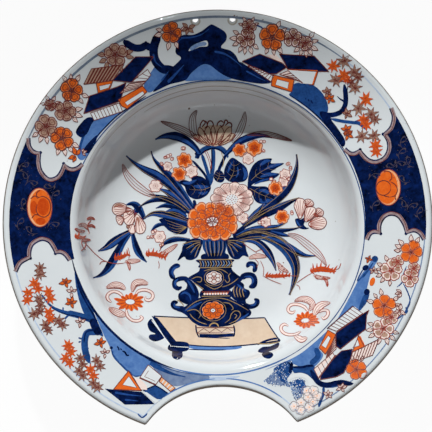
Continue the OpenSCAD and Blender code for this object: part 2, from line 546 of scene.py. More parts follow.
bare_paste, tree, shader, where = new_finish("bare_paste")
soil = add_node(tree, "TexNoise", {"Vector": where, "Scale": per_metre(SOIL_MM), "Detail": 5.0})
grit = add_node(tree, "TexNoise", {"Vector": where, "Scale": per_metre(GRIT_MM), "Detail": 3.0})
tones = {0: soil.outputs["Fac"], 6: linear("B9A58A"), 7: linear("E4DAC8")}
tone = add_node(tree, "Mix", tones, data_type="RGBA")
bump = add_node(tree, "Bump", {"Height": grit.outputs["Fac"], "Strength": 0.5, "Distance": 0.0003})
set_inputs(shader, {"Base Color": tone.outputs[2], "Normal": bump.outputs["Normal"], "Roughness": 0.8})
foot_edge.data.materials.clear()
foot_edge.data.materials.append(bare_paste)
print("paste:", len(tree.nodes), "nodes")

# %% [markdown]
# The pigments differ in more than colour. Cobalt lies under the glaze and is darker where the brush was
# full, so its blue is mottled. Iron red and the pale washes are enamels fused on top. The gold was fired
# last and softest, and rubbing has worn it to a dull tan. One function makes them all from a full and a
# thin colour, the size of the mottling and a sheen. They are listed in the order in which they lie, from
# the glaze up.

# %% The pigments
FINE_MOTTLE = 0.3
PIGMENT_SHEEN = 0.25


def pigment(name, full, thin, mottle_mm, spread, roughness, metallic=0.0, sheen=PIGMENT_SHEEN):
    """A fired pigment: full and thin colour mixed by a mottle of this size, spread from soft to sharp."""
    material, tree, shader, where = new_finish(name)
    coarse = {"Vector": where, "Scale": per_metre(mottle_mm), "Detail": 5.0}
    mottle = add_node(tree, "TexNoise", {**coarse, "Roughness": 0.6, "Distortion": 0.4})
    fine = {"Vector": where, "Scale": per_metre(mottle_mm * FINE_MOTTLE), "Detail": 3.0}
    grain = add_node(tree, "TexNoise", fine)
    both = add_node(tree, "Mix", {0: FINE_MOTTLE, 2: mottle.outputs["Fac"], 3: grain.outputs["Fac"]})
    limits = {"Value": both.outputs[0], "From Min": 0.5 - spread / 2, "From Max": 0.5 + spread / 2}
    share = add_node(tree, "MapRange", limits)
    tones = {0: share.outputs["Result"], 6: linear(full), 7: linear(thin)}
    tone = add_node(tree, "Mix", tones, data_type="RGBA")
    set_inputs(shader, {"Base Color": tone.outputs[2], "Roughness": roughness})
    set_inputs(shader, {"Metallic": metallic, "Specular IOR Level": sheen})
    return material


PIGMENTS = {
    "dressing": pigment("brown_lip_dressing", "4E382C", "A2907F", 5.0, 0.55, 0.3),  # iron brown, worn through
    "stain": pigment("glaze_stain", "9C9488", "C2BEB6", 2.5, 0.5, 0.2),  # painted shade by the holes and in the throwing lines
    "pale": pigment("thin_cobalt_wash", "A9BBD8", "CBD6E6", 9.0, 0.4, 0.06),  # with much water, for mist
    "mist": pigment("misty_cobalt", "4A5F8C", "8FA0BC", 8.0, 0.5, 0.06),  # greyed, for the farthest hill
    "rim_blue": pigment("rim_line_painted_shade", "5C6A84", "8E9AA8", 5.0, 0.5, 0.12),  # darker and greyer along the top of the brim: painted shade
    "wash": pigment("cobalt_wash", "2F5CA2", "6C92C8", 6.0, 0.6, 0.06),  # wet, streaky and mid blue
    "blue": pigment("brushed_cobalt", "0A2450", "2A5AA0", 4.0, 0.55, 0.06),  # from a half-full brush
    "flesh": pigment("flesh_wash", "D0B69E", "DCC6B0", 8.0, 0.4, 0.5, sheen=0.04),  # beige, worn matt
    "cobalt": pigment("underglaze_cobalt", "02040E", "0D245C", 6.0, 0.32, 0.06, sheen=0.03),  # full brush
    "sheen": pigment("streak_in_cobalt", "0E2A66", "2F5CA6", 3.0, 0.6, 0.06),  # lighter, in a full stroke
    "white": pigment("white_slip", "DDE0E2", "E4E6E8", 6.0, 0.4, 0.15),  # touched over the blue
    "reserve_wash": pigment("wash_in_reserve", "4A6FA8", "9FB8DC", 3.0, 0.5, 0.06),  # over the white slip
    "pink": pigment("pink_wash", "F0D6CC", "F6E4DE", 3.0, 0.4, 0.15),  # inside petals
    "worn": pigment("worn_gilt_band", "70565A", "BCA8AA", 3.0, 0.5, 0.15),  # rubbed down to a mauve stain
    "tan": pigment("tan_wash", "9C7664", "C4A08C", 3.0, 0.5, 0.2),  # brown that once carried gold
    "peach": pigment("thin_orange_enamel", "EE9C62", "F2B890", 2.5, 0.5, 0.2),  # at the edges of petals
    "red": pigment("iron_red_enamel", "D8500E", "F0782C", 3.0, 0.5, 0.2),  # orange where it is thin
    "scarlet": pigment("thick_red_enamel", "B4340A", "DA581A", 2.5, 0.5, 0.2),  # the same, laid on thickly
    "reserve": pigment("reserved_white", "DDE0E2", "E4E6E8", 6.0, 0.4, 0.15),  # white inside the enamels
    "redline": pigment("iron_red_line", "8A2E24", "AE5646", 2.0, 0.5, 0.25),  # from the point of the brush
    "brown": pigment("brown_outline", "561F1E", "86423A", 2.0, 0.5, 0.25),  # round the enamels
    "rubbed": pigment("rubbed_gold_scroll", "5A4C4A", "20234A", 2.2, 0.4, 0.3),  # gold that is all but gone
    "gold": pigment("worn_gilding", "BE9E6A", "9A7E54", 2.0, 0.5, 0.35, 0.25),  # rubbed to a dull tan
}
LAYERS = list(PIGMENTS)
print("pigments from the glaze up:", LAYERS)

# %% [markdown]
# A brush stroke is a ribbon and a patch of wash is a filled outline. Both are drawn flat in plan, in
# millimetres with the notch towards -Y, and then laid on the glaze: each vertex is lifted to the height
# of the face plus the film's own small lift. A ribbon starts as a grid and a patch as a circle's face.
# Patches are cut into small cells, so that they follow the curve of the bowl. A Solidify modifier gives
# every film a body.

# %% A curve through a painter's points
PATH_SPACING = 0.7


def plan(points):
    """Plan vectors from pairs of millimetres."""
    return [Vector((p[0], p[1])) for p in points]


def smooth_path(points, closed=False):
    """A Catmull-Rom curve through the points. A point that is given twice makes a corner."""
    knots = plan(points)
    count = len(knots)
    path = []
    for i in range(count if closed else count - 1):
        if closed:
            a, b, c, d = (knots[(i + k) % count] for k in (-1, 0, 1, 2))
        else:
            a, b, c, d = (knots[min(max(i + k, 0), count - 1)] for k in (-1, 0, 1, 2))
        steps = max(math.ceil((c - b).length / PATH_SPACING), 1)
        if (c - b).length < 1e-6:
            continue
        for s in range(steps):
            t = s / steps
            curve = 2 * b + (c - a) * t + (2 * a - 5 * b + 4 * c - d) * t**2 + (3 * b - a - 3 * c + d) * t**3
            path.append(curve / 2)
    if not closed:
        path.append(knots[-1])
    return path


def placed(points, at, turn=0.0, size=1.0, squash=1.0):
    """A pattern's points, sized, flattened across, turned by degrees and moved to a place."""
    cosine = math.cos(math.radians(turn))
    sine = math.sin(math.radians(turn))
    moved = []
    for p in points:
        x = p[0] * size
        y = p[1] * size * squash
        moved.append((at[0] + x * cosine - y * sine, at[1] + x * sine + y * cosine))
    return moved


print("a path has a point every", PATH_SPACING, "mm or so")

# %% Films, strokes and fills
FIRST_LIFT = 0.045
LAYER_LIFT = 0.011
STROKE_LIFT = 0.0008
STROKES_IN_TURN = 12
FLAT_CELL = 4.0
CURVED_CELL = 1.2
SLOPE_STEP = 0.05
films = {}
strokes_made = 0
motif = "painting"


def start_motif(name):
    """Names the motif that the next strokes belong to."""
    global motif
    motif = name


def lay_on_glaze(bm, pigment_name):
    """Lifts a flat bmesh on to the glaze and adds it to its motif's film of that pigment."""
    global strokes_made
    strokes_made += 1
    lift = FIRST_LIFT + LAYER_LIFT * LAYERS.index(pigment_name)
    lift += STROKE_LIFT * (strokes_made % STROKES_IN_TURN)
    bmesh.ops.reverse_faces(bm, faces=[f for f in bm.faces if f.normal.z < 0])
    for vert in bm.verts:
        r = vert.co.xy.length
        rise = (face_height(r + SLOPE_STEP) - face_height(max(r - SLOPE_STEP, 0))) / (2 * SLOPE_STEP)
        normal = Vector((-vert.co.x * rise / max(r, 0.1), -vert.co.y * rise / max(r, 0.1), 1)).normalized()
        vert.co.z = face_height(r)
        vert.co += lift * normal
    scrap = bpy.data.meshes.new("scrap")
    bm.to_mesh(scrap)
    bm.free()
    film = films.setdefault((motif, pigment_name), bmesh.new())
    film.from_mesh(scrap)
    bpy.data.meshes.remove(scrap)


def cell_for(path):
    """Size of cell that follows the glaze: small where a path crosses the curved side of the well."""
    return CURVED_CELL if any(floor_r < p.length < WELL_R for p in path) else FLAT_CELL


def width_share(shape, t):
    """How much of the brush's width shows at a share of the way along the stroke."""
    if shape == "even":
        return 1.0
    if shape == "tail":
        return max(1 - t, 0.12) ** 0.7 * min(1, 0.55 + 4 * t)
    if shape == "blade":
        return max(min(0.42 + 1.3 * t, 1, 2.6 * (1 - t)), 0.12) ** 0.8
    if shape == "leaf":
        return max(math.sin(math.pi * min(t * 0.92 + 0.06, 1)), 0.08) ** 0.8
    return max(min(1, 5 * t + 0.3, 5 * (1 - t) + 0.3), 0.1)


def stroke(pigment_name, points, width, shape="soft", closed=False):
    """One brush stroke along a curve: even, soft at both ends, a thinning tail, a blade or a leaf."""
    path = smooth_path(points, closed)
    if closed:
        path.append(path[0])
    last = len(path) - 1
    rows = math.ceil(width / cell_for(path))
    bm = bmesh.new()
    strip = bmesh.ops.create_grid(bm, x_segments=last, y_segments=rows, size=1)["verts"]
    strip.sort(key=lambda v: (v.co.y, v.co.x))
    for i, here in enumerate(path):
        before = path[i - 1] if i else path[-2] if closed else here
        after = path[i + 1] if i < last else path[1] if closed else here
        along = (after - before).normalized()
        side = Vector((-along.y, along.x)) * width / 2 * width_share(shape, i / last)
        for row in range(rows + 1):
            strip[i + row * (last + 1)].co.xy = here + side * (2 * row / rows - 1)
    bm.normal_update()
    lay_on_glaze(bm, pigment_name)


def strokes(pigment_name, lines, width, shape="soft"):
    """The same stroke along several curves."""
    for points in lines:
        stroke(pigment_name, points, width, shape)


def beside(points, width, share, shape="leaf"):
    """A curve that runs beside another, a share of a stroke's half width to its left."""
    path = smooth_path(points)
    last = len(path) - 1
    run = []
    for i, here in enumerate(path):
        along = (path[min(i + 1, last)] - path[max(i - 1, 0)]).normalized()
        run.append(here + Vector((-along.y, along.x)) * width / 2 * share * width_share(shape, i / last))
    return run[:: max(len(run) // 12, 1)] + [run[-1]]


def fill(pigment_name, points, straight=False):
    """A patch of pigment inside a closed outline, smooth or straight sided."""
    outline = plan(points) if straight else smooth_path(points, True)
    bm = bmesh.new()
    rim = bmesh.ops.create_circle(bm, cap_ends=True, segments=len(outline), radius=1)["verts"]
    for vert, place in zip(rim, outline):
        vert.co.xy = place
    bm.normal_update()
    cell = cell_for(outline)
    for axis in (0, 1):
        normal = [float(k == axis) for k in range(3)]
        low = min(p[axis] for p in outline)
        high = max(p[axis] for p in outline)
        for i in range(math.ceil(low / cell), math.floor(high / cell) + 1):
            where = [0, 0, 0]
            where[axis] = i * cell
            geom = bm.verts[:] + bm.edges[:] + bm.faces[:]
            bmesh.ops.bisect_plane(bm, geom=geom, dist=0.001, plane_co=where, plane_no=normal)
    bm.normal_update()
    lay_on_glaze(bm, pigment_name)


def dot(pigment_name, at, size, squash=1.0, turn=0.0):
    """A round or oval touch of the brush."""
    sides = 10
    ring = [(math.cos(math.tau * i / sides), math.sin(math.tau * i / sides)) for i in range(sides)]
    fill(pigment_name, placed(ring, at, turn, size / 2, squash), straight=size < 2)


print("brush ready, with cells of", CURVED_CELL, "and", FLAT_CELL, "mm")

# %% [markdown]
# Some touches come back all over the bowl: a pale leaf or petal that is outlined and lined in brown, and
# round blossoms whose edge bulges once for each petal. Each is a function of its own.

# %% Leaves and blossoms
HALF_PETAL = [(0.34, 0.25), (0.58, 0.43), (0.84, 0.38), (0.98, 0.14)]
PETAL = [(0.13, 0), *HALF_PETAL, (0.94, 0), *[(x, -y) for x, y in HALF_PETAL[::-1]]]


def lined_leaf(points, width, lines=3, inside="pink", line="redline"):
    """A leaf drawn in outline over a wash, with lines along it."""
    if inside:
        stroke(inside, points, width, "leaf")
    for i in range(lines + 2):
        share = -1 + 2 * i / (lines + 1)
        at_side = i in (0, lines + 1)
        stroke(line, beside(points, width, share), 0.42 if at_side else 0.26)


def lined_petal(outline, base, lines, inside, line):
    """A pale petal with an outline, and lines that run from its base towards its edge."""
    fill(inside, outline)
    stroke("brown", outline, 0.45, "even", True)
    path = smooth_path(outline, True)
    root = Vector(base)
    far = sorted(path, key=lambda p: (p - root).length)[-len(path) // 2 :]
    far.sort(key=lambda p: math.atan2(p.y - root.y, p.x - root.x))
    for i in range(lines):
        tip = far[(2 * i + 1) * len(far) // (2 * lines)]
        stroke(line, [root.lerp(tip, 0.22), root.lerp(tip, 0.94)], 0.34)


def scallop(at, r, petals, depth, turn=0.0, squash=1.0):
    """Outline of a round flower, with one bulge for each petal."""
    steps = petals * 6
    ring = []
    for i in range(steps):
        a = math.tau * i / steps
        bulge = 1 - depth * (1 - abs(math.sin(petals * a / 2)))
        ring.append((bulge * math.cos(a), bulge * math.sin(a)))
    return placed(ring, at, turn, r, squash)


def blossom(at, r, turn, inside):
    """A small prunus blossom: pale round petals with an outline, a full middle and fine dark veins."""
    petals = 6
    rim = [Vector(at).lerp(Vector(p), random.uniform(0.93, 1.07)) for p in scallop(at, r, petals, 0.2, turn)]
    fill("peach" if inside == "red" else inside, rim)
    if inside == "red":
        fill("red", [Vector(at).lerp(Vector(p), random.uniform(0.68, 0.9)) for p in rim[::2]])
        fill("scarlet", scallop(at, r * 0.5, petals, 0.3, turn))
    stroke("redline", rim, 0.4, "even", True)
    for i in range(petals * 2):
        vein = placed([(0.2, 0), (0.56, 0)], at, turn + 180 * (i + 0.5) / petals, r)
        stroke("brown" if inside == "red" else "redline", vein, 0.26, "tail")
    dot("brown" if inside == "red" else "redline", at, r * 0.2)


print("a petal has", len(PETAL), "points")

# %% [markdown]
# In the middle of the well a vase of flowers stands on a low table. The table is drawn in perspective, as
# a flesh coloured top with a blue frame and scrolled feet. It is laid down in the painter's order: the
# wash of the top first, then the dark frame round it, then the feet.

# %% The low table
start_motif("table")
TABLE_TOP = [(-41, -56.2), (29, -58), (37.5, -73.2), (22, -75.2), (4, -76.2), (-12, -75.6), (-28.5, -73.5)]
fill("flesh", TABLE_TOP, straight=True)
strokes("cobalt", [[(-42, -55.8), (-20, -57), (4, -58.2), (29, -58)], [(29, -58), (33, -65), (38, -73.6)],
                   [(-28, -74), (-12, -75.8), (4, -76.4), (22, -75.4), (38, -73.8)]], 0.8, "even")
fill("cobalt", [(-43.4, -55.6), (-39.6, -57), (-27.5, -73.2), (-31.5, -75.8)], straight=True)
stroke("white", [(-43.3, -58.6), (-37, -67.4), (-31.4, -75.4), (-30.6, -76), (-20, -76.6)], 0.5, "even")
fill("cobalt", [(-32, -74.5), (-28, -72.6), (-20.5, -73.6), (-20, -78), (-23.5, -79.6), (-29, -80),
                (-33, -78)])
stroke("wash", [(-20.5, -76.2), (-8, -77.4), (4, -77.6), (14, -77)], 2.2)
stroke("cobalt", [(-20, -78), (-6, -78.6), (4, -78.6)], 0.6)
stroke("cobalt", [(24, -75.8), (30, -73.2), (36, -72.2), (37.6, -74), (30, -74.6)], 1.4)
stroke("gold", [(24, -75.2), (31, -75.6), (38, -74.6)], 0.5)
print("table top:", strokes_made, "strokes so far")

# %% The table's scrolled feet
BACK_FOOT = [
    (-43.8, -57.6), (-46, -61), (-44.4, -65.6), (-41, -67.6), (-44.6, -68.4), (-44.8, -71), (-41.4, -72.8),
    (-37.4, -71.6), (-35.4, -69.6), (-38.4, -65), (-41.4, -60.8),
]
LEFT_FOOT = [(-29.6, -79), (-24.6, -79), (-23.8, -83), (-26.2, -85.4), (-29.4, -84.6), (-30.4, -82)]
RIGHT_SCROLL = [
    (24, -80.4), (27, -77.6), (32, -77.2), (37.4, -75.2), (36.6, -78.6), (32.6, -80.4), (27, -81.6),
]
RIGHT_FOOT = [(26.4, -82.6), (29, -81), (32.4, -82), (33.4, -84), (31, -86), (27.6, -85.2)]
for outline in (BACK_FOOT, LEFT_FOOT, RIGHT_SCROLL, RIGHT_FOOT):
    fill("cobalt", outline)
strokes("wash", [[(-44, -61), (-42.6, -63.4), (-39.4, -65.2)], [(26, -79.8), (30, -78.6), (35.4, -77.4)]],
        0.7, "tail")
print("table laid:", strokes_made, "strokes so far")

# %% [markdown]
# The vase is a gourd of two dark bulbs with scrolled handles. Cobalt covers it all, a flower medallion
# sits on each bulb, and the scrolls on the blue are drawn in gold.

# %% The vase
start_motif("vase")
LOWER_BULB = [
    (-13, -44.4), (-18, -46.8), (-22, -49.8), (-27.4, -52), (-24, -53.6), (-21, -55.6), (-19.4, -57.6),
    (-17, -60), (-13, -62.4), (-8, -63.2), (0, -63.4), (6, -62.6), (11, -60.6), (15, -58.6), (19.4, -56.6),
    (20.6, -54.4), (19.4, -52.2), (15, -49), (10, -46.4), (6, -44.4), (-4, -43.4),
]
UPPER_BULB = [
    (-11, -24.6), (-13, -27.4), (-19.2, -31), (-17, -33.2), (-14, -36), (-11, -38.6), (-9, -40),
    (-2, -40.4), (5, -40), (8, -38.6), (11, -36.4), (14.6, -33.8), (15, -32), (12, -29.8), (9, -27),
    (7.4, -24.8), (-2, -24.4),
]
COLLAR = [(-13.2, -19.6), (9, -19.8), (8, -22.6), (7.6, -25), (-11.6, -25), (-12, -22.4)]
NECK = [(-9.4, -16), (5, -16), (5.4, -20), (-9.6, -20)]
WAIST = [(-10.4, -39.4), (6.4, -39.4), (6.4, -45), (-10.4, -45)]
for outline in (LOWER_BULB, UPPER_BULB, COLLAR, NECK, WAIST):
    fill("cobalt", outline)
print("body of the vase:", strokes_made, "strokes so far")

# %% The vase's handles
LINE = 0.5

stroke("cobalt", [(-24.6, -23.4), (-27.6, -23.6), (-30.2, -26), (-30.2, -29.2), (-28.2, -32)], 3.2)
stroke("cobalt", [(-19, -32), (-24, -31.6), (-28, -33.2), (-28.4, -36.4), (-26, -38), (-23.8, -37)], 2.9)
LEFT_HANDLE = [
    (-24, -30.8), (-20, -31.4), (-16, -34.6), (-13.6, -38.6), (-12.8, -43), (-15, -46.6), (-19, -48.6),
    (-23, -47.4), (-25.8, -45.2), (-26, -41.8), (-23.6, -39.6), (-21.2, -38.4), (-20.4, -35.4),
    (-22, -33.4),
]
fill("cobalt", LEFT_HANDLE)
strokes("cobalt", [[(-22, -50.6), (-26.4, -50.8), (-29.2, -49.6), (-29.4, -47.4), (-26.4, -46.8)],
                   [(18.2, -25.2), (20, -22.8), (23, -23.4), (23.6, -25.8), (22.4, -28.4)]], 3.0)
stroke("cobalt", [(13.6, -32.6), (17.4, -30.4), (21.4, -30.6), (23, -33.4), (22.4, -36.8), (19.4, -38)],
       3.8)
RIGHT_HANDLE = [
    (12, -33.4), (16, -36), (16.4, -38.6), (19.2, -40), (20, -42), (18.6, -44.8), (17, -46.2),
    (17.4, -49.4), (12, -47.4), (8, -44), (8.4, -40), (10.4, -37),
]
fill("cobalt", RIGHT_HANDLE)
stroke("cobalt", [(15.6, -49), (19.6, -50.6), (23.4, -49.6), (24.6, -47.2), (22.6, -45.6)], 3.0)
for i in range(4):
    lean = i * 1.9
    stroke("gold", [(10 + lean, -37 - i * 0.6), (9.4 + lean, -40.6), (10.4 + lean, -44.4)], LINE)
stroke("gold", [(-27, -45.2), (-24.4, -47), (-22.6, -49.4)], LINE)
HANDLE_LIGHTS = [
    [(-25, -23.6), (-28.4, -25), (-29.6, -28), (-28.4, -31)], [(-26, -31.8), (-28, -34), (-27.4, -36.8)],
    [(-20, -33), (-17.6, -36.6), (-15.6, -41)], [(-24.6, -42), (-22, -40.8), (-19, -42.4), (-18, -46)],
    [(-28.4, -47.4), (-28.6, -49.4), (-25, -50.6)], [(19.6, -23.8), (22.4, -23.8), (22.8, -26.4)],
    [(16.4, -31.4), (20.4, -31.4), (22, -34), (20.6, -37)], [(23.4, -46.6), (23, -49), (20, -50)],
    [(12, -36), (14.6, -38.6), (17.6, -41)], [(-22, -52.6), (-16, -49.4), (-11, -47)],
    [(10, -60), (15.6, -57.4), (19, -54.6)],
]
strokes("sheen", HANDLE_LIGHTS, 1.5, "leaf")
print("handles:", strokes_made, "strokes so far")

# %% Medallions and gold scrolls on the vase
LOWER_FLOWER = (-4, -52.6)
UPPER_FLOWER = (-3, -31.6)
HAIR = 0.35

fill("peach", scallop(LOWER_FLOWER, 7.2, 8, 0.1, 8, 0.8))
fill("red", scallop(LOWER_FLOWER, 6.9, 8, 0.14, 8, 0.8))
for i in range(8):
    a = math.tau * i / 8
    petal = (LOWER_FLOWER[0] + 4.5 * math.cos(a), LOWER_FLOWER[1] + 3.6 * math.sin(a))
    stroke("brown", scallop(petal, 1.75, 8, 0.0, 0, 0.85), HAIR, "even", True)
    stroke("brown", [petal, (LOWER_FLOWER[0] + 2 * math.cos(a), LOWER_FLOWER[1] + 1.6 * math.sin(a))], 0.3,
           "tail")
dot("reserve", LOWER_FLOWER, 3.0, 0.85)
stroke("brown", scallop(LOWER_FLOWER, 1.6, 8, 0.0, 0, 0.85), LINE, "even", True)
dot("brown", LOWER_FLOWER, 0.8)
fill("pink", scallop(UPPER_FLOWER, 5.2, 6, 0.1, 0, 0.82))
fill("pink", scallop(UPPER_FLOWER, 4.7, 6, 0.16, 0, 0.82))
for i in range(6):
    a = math.tau * (i + 0.5) / 6
    petal = (UPPER_FLOWER[0] + 2.9 * math.cos(a), UPPER_FLOWER[1] + 2.4 * math.sin(a))
    stroke("brown", scallop(petal, 1.5, 8, 0.0, 0, 0.85), HAIR, "even", True)
    dot("reserve", petal, 1.5)
dot("redline", UPPER_FLOWER, 1.5, 0.85)
stroke("brown", scallop(UPPER_FLOWER, 1.4, 8, 0.0, 0, 0.85), LINE, "even", True)
stroke("gold", scallop(LOWER_FLOWER, 8.3, 12, 0.0, 0, 0.82), 0.3, "even", True)
stroke("gold", scallop(UPPER_FLOWER, 6.2, 12, 0.0, 0, 0.84), 0.3, "even", True)
VASE_SCROLLS = [
    [(-21.4, -51.6), (-16, -47.4), (-10, -45.2), (-3, -44.6), (4, -45.4), (11, -48.4), (18.6, -53)],
    [(-20.6, -52.8), (-17, -51.8), (-13.8, -52.6), (-12, -55.2), (-13.4, -57.6)],
    [(-19, -54.4), (-16.6, -57.4), (-12.6, -60), (-8, -61.6)],
    [(2.6, -47.6), (6.6, -48.4), (9, -51.4), (7.6, -52.6)],
    [(3.4, -61), (6.6, -58.4), (7.6, -55.4), (10, -53.2), (12.8, -53.8), (13.4, -56.4), (10.4, -59.6),
     (6, -61.4)],
    [(9.6, -55.2), (11.2, -56.2), (9.8, -58.2)],
    [(-17.4, -32.2), (-14, -30.8), (-11, -31.6), (-11.6, -34), (-14, -33.8)],
    [(-16, -34.4), (-12.6, -36.8), (-9.6, -38.8)], [(-9.4, -27), (-4, -25.8), (2, -26.4), (6, -29)],
    [(3.8, -32.6), (5.4, -34.8), (7, -33.4), (6.4, -30.4), (8, -28.6)],
    [(2, -37.6), (5.6, -36.6), (9.4, -34.6), (12.6, -32)],
    [(-9, -35.6), (-6, -37.4), (-3, -38.8), (0.6, -37.6), (2.6, -35.6)],
]
strokes("gold", VASE_SCROLLS, 0.44)
print("medallions:", strokes_made, "strokes so far")

# %% Collar, waist and plinth of the vase
for i in range(13):
    x = -12 + i * 1.66
    stroke("reserve_wash" if i % 2 else "gold", [(x, -20.4), (x + 0.9, -22.6), (x * 0.9 - 0.6, -24.4)], 0.5)
strokes("gold", [[(-13.2, -19.7), (9, -19.9)], [(-11.8, -24.9), (7.8, -24.9)]], 0.5, "even")
stroke("flesh", [(-11, -39.8), (7, -39.8)], 0.9, "even")
for i in range(9):
    dot("pink", (-9.2 + 1.75 * i, -41.9), 1.5)
    dot("red", (-8.3 + 1.75 * i, -41.4), 0.8)
stroke("brown", [(-11, -40.5), (7, -40.5)], 0.7, "even")
stroke("gold", [(-11, -43.4), (7, -43.4)], 0.5, "even")
PLINTH = [(-15.2, -62.2), (8.8, -62.8), (9.6, -69), (-14.4, -69.2)]
fill("flesh", PLINTH, straight=True)
strokes("cobalt", [[(-15.2, -61.6), (-14.8, -66), (-13.4, -69.8)], [(9, -62.4), (9.6, -66), (9, -70)]], 1.0)
stroke("cobalt", [(-13, -68.8), (-2, -69.1), (8.8, -68.8)], 2.2, "even")
stroke("cobalt", [(-14, -69.8), (0, -70.6), (6.6, -71)], 0.6)
strokes("brown", [[(-14.8, -63.6), (9, -64)], [(-14.6, -67.2), (9.2, -67.2)]], LINE, "even")
ZIGZAG = [(-14 + 3.8 * i, -66.8 if i % 2 == 0 else -64.2) for i in range(7)]
for start, end in zip(ZIGZAG, ZIGZAG[1:]):
    stroke("brown", [start, end], HAIR, "even")
stroke("gold", [(-6.6, -63.2), (-5.4, -61.4), (-3.4, -60.8), (-1.4, -61.6), (-0.6, -63.4)], 0.8)
print("vase painted:", strokes_made, "strokes so far")

# %% [markdown]
# Leaves spill from the vase's mouth: three broad ones over its neck, and long blades that sweep out to
# both sides. A blade is two strokes of the brush, one over the other and a little to its side, with worn
# gold lines along it. Each one is a path from its root to its tip, a width, the side of the second stroke
# and the lines.

# %% Leaves at the vase's mouth
start_motif("leaves")
MOUTH_LEAF = [
    (-9.6, -6.6), (-3, -6), (4.4, -6.6), (5.6, -11), (4.6, -15), (5, -18.6), (-9.4, -18.6), (-8.2, -16),
    (-9.8, -12),
]
fill("blue", MOUTH_LEAF)
for x in (-7.6, -5, -2.2, 0.6, 3):
    stroke("cobalt", [(x * 0.7 + 0.2, -17.6), (x + 1.2, -13), (x * 1.05 + 1, -7.4)], 1.1)
    stroke("gold", [(x * 0.7 - 0.8, -17.6), (x, -13), (x * 1.05, -8)], HAIR)
LEFT_LEAF = [
    (-10, -7), (-15, -5.8), (-20, -7.6), (-22.8, -11), (-23.6, -14.4), (-26.2, -20), (-22, -17.6),
    (-20.4, -19.4), (-17, -19.8), (-13.6, -18), (-11.6, -14), (-10.4, -10.6),
]
RIGHT_LEAF = [
    (5, -7), (10, -5.8), (15, -7.6), (17.6, -11), (18.2, -14.4), (19.4, -18.4), (16, -17.6), (13, -19.8),
    (9, -19.2), (6.2, -15), (5.6, -11),
]
for side, axis_x, outline in ((-1, -10.6, LEFT_LEAF), (1, 5.6, RIGHT_LEAF)):
    fill("cobalt", outline)
    for i in range(4):
        tip = (axis_x + side * (12.4 - 2.6 * i), -9.4 - 2.9 * i)
        middle = (axis_x + side * (6 - 1.2 * i), -7.8 - 1.6 * i)
        stroke("gold", [(axis_x + side * 0.6, -7.6 - 0.8 * i), middle, tip], 0.4)
        stroke("sheen", [(middle[0], middle[1] - 0.9), (tip[0], tip[1] - 1.1)], 0.9, "tail")
print("leaves at the mouth:", strokes_made, "strokes so far")

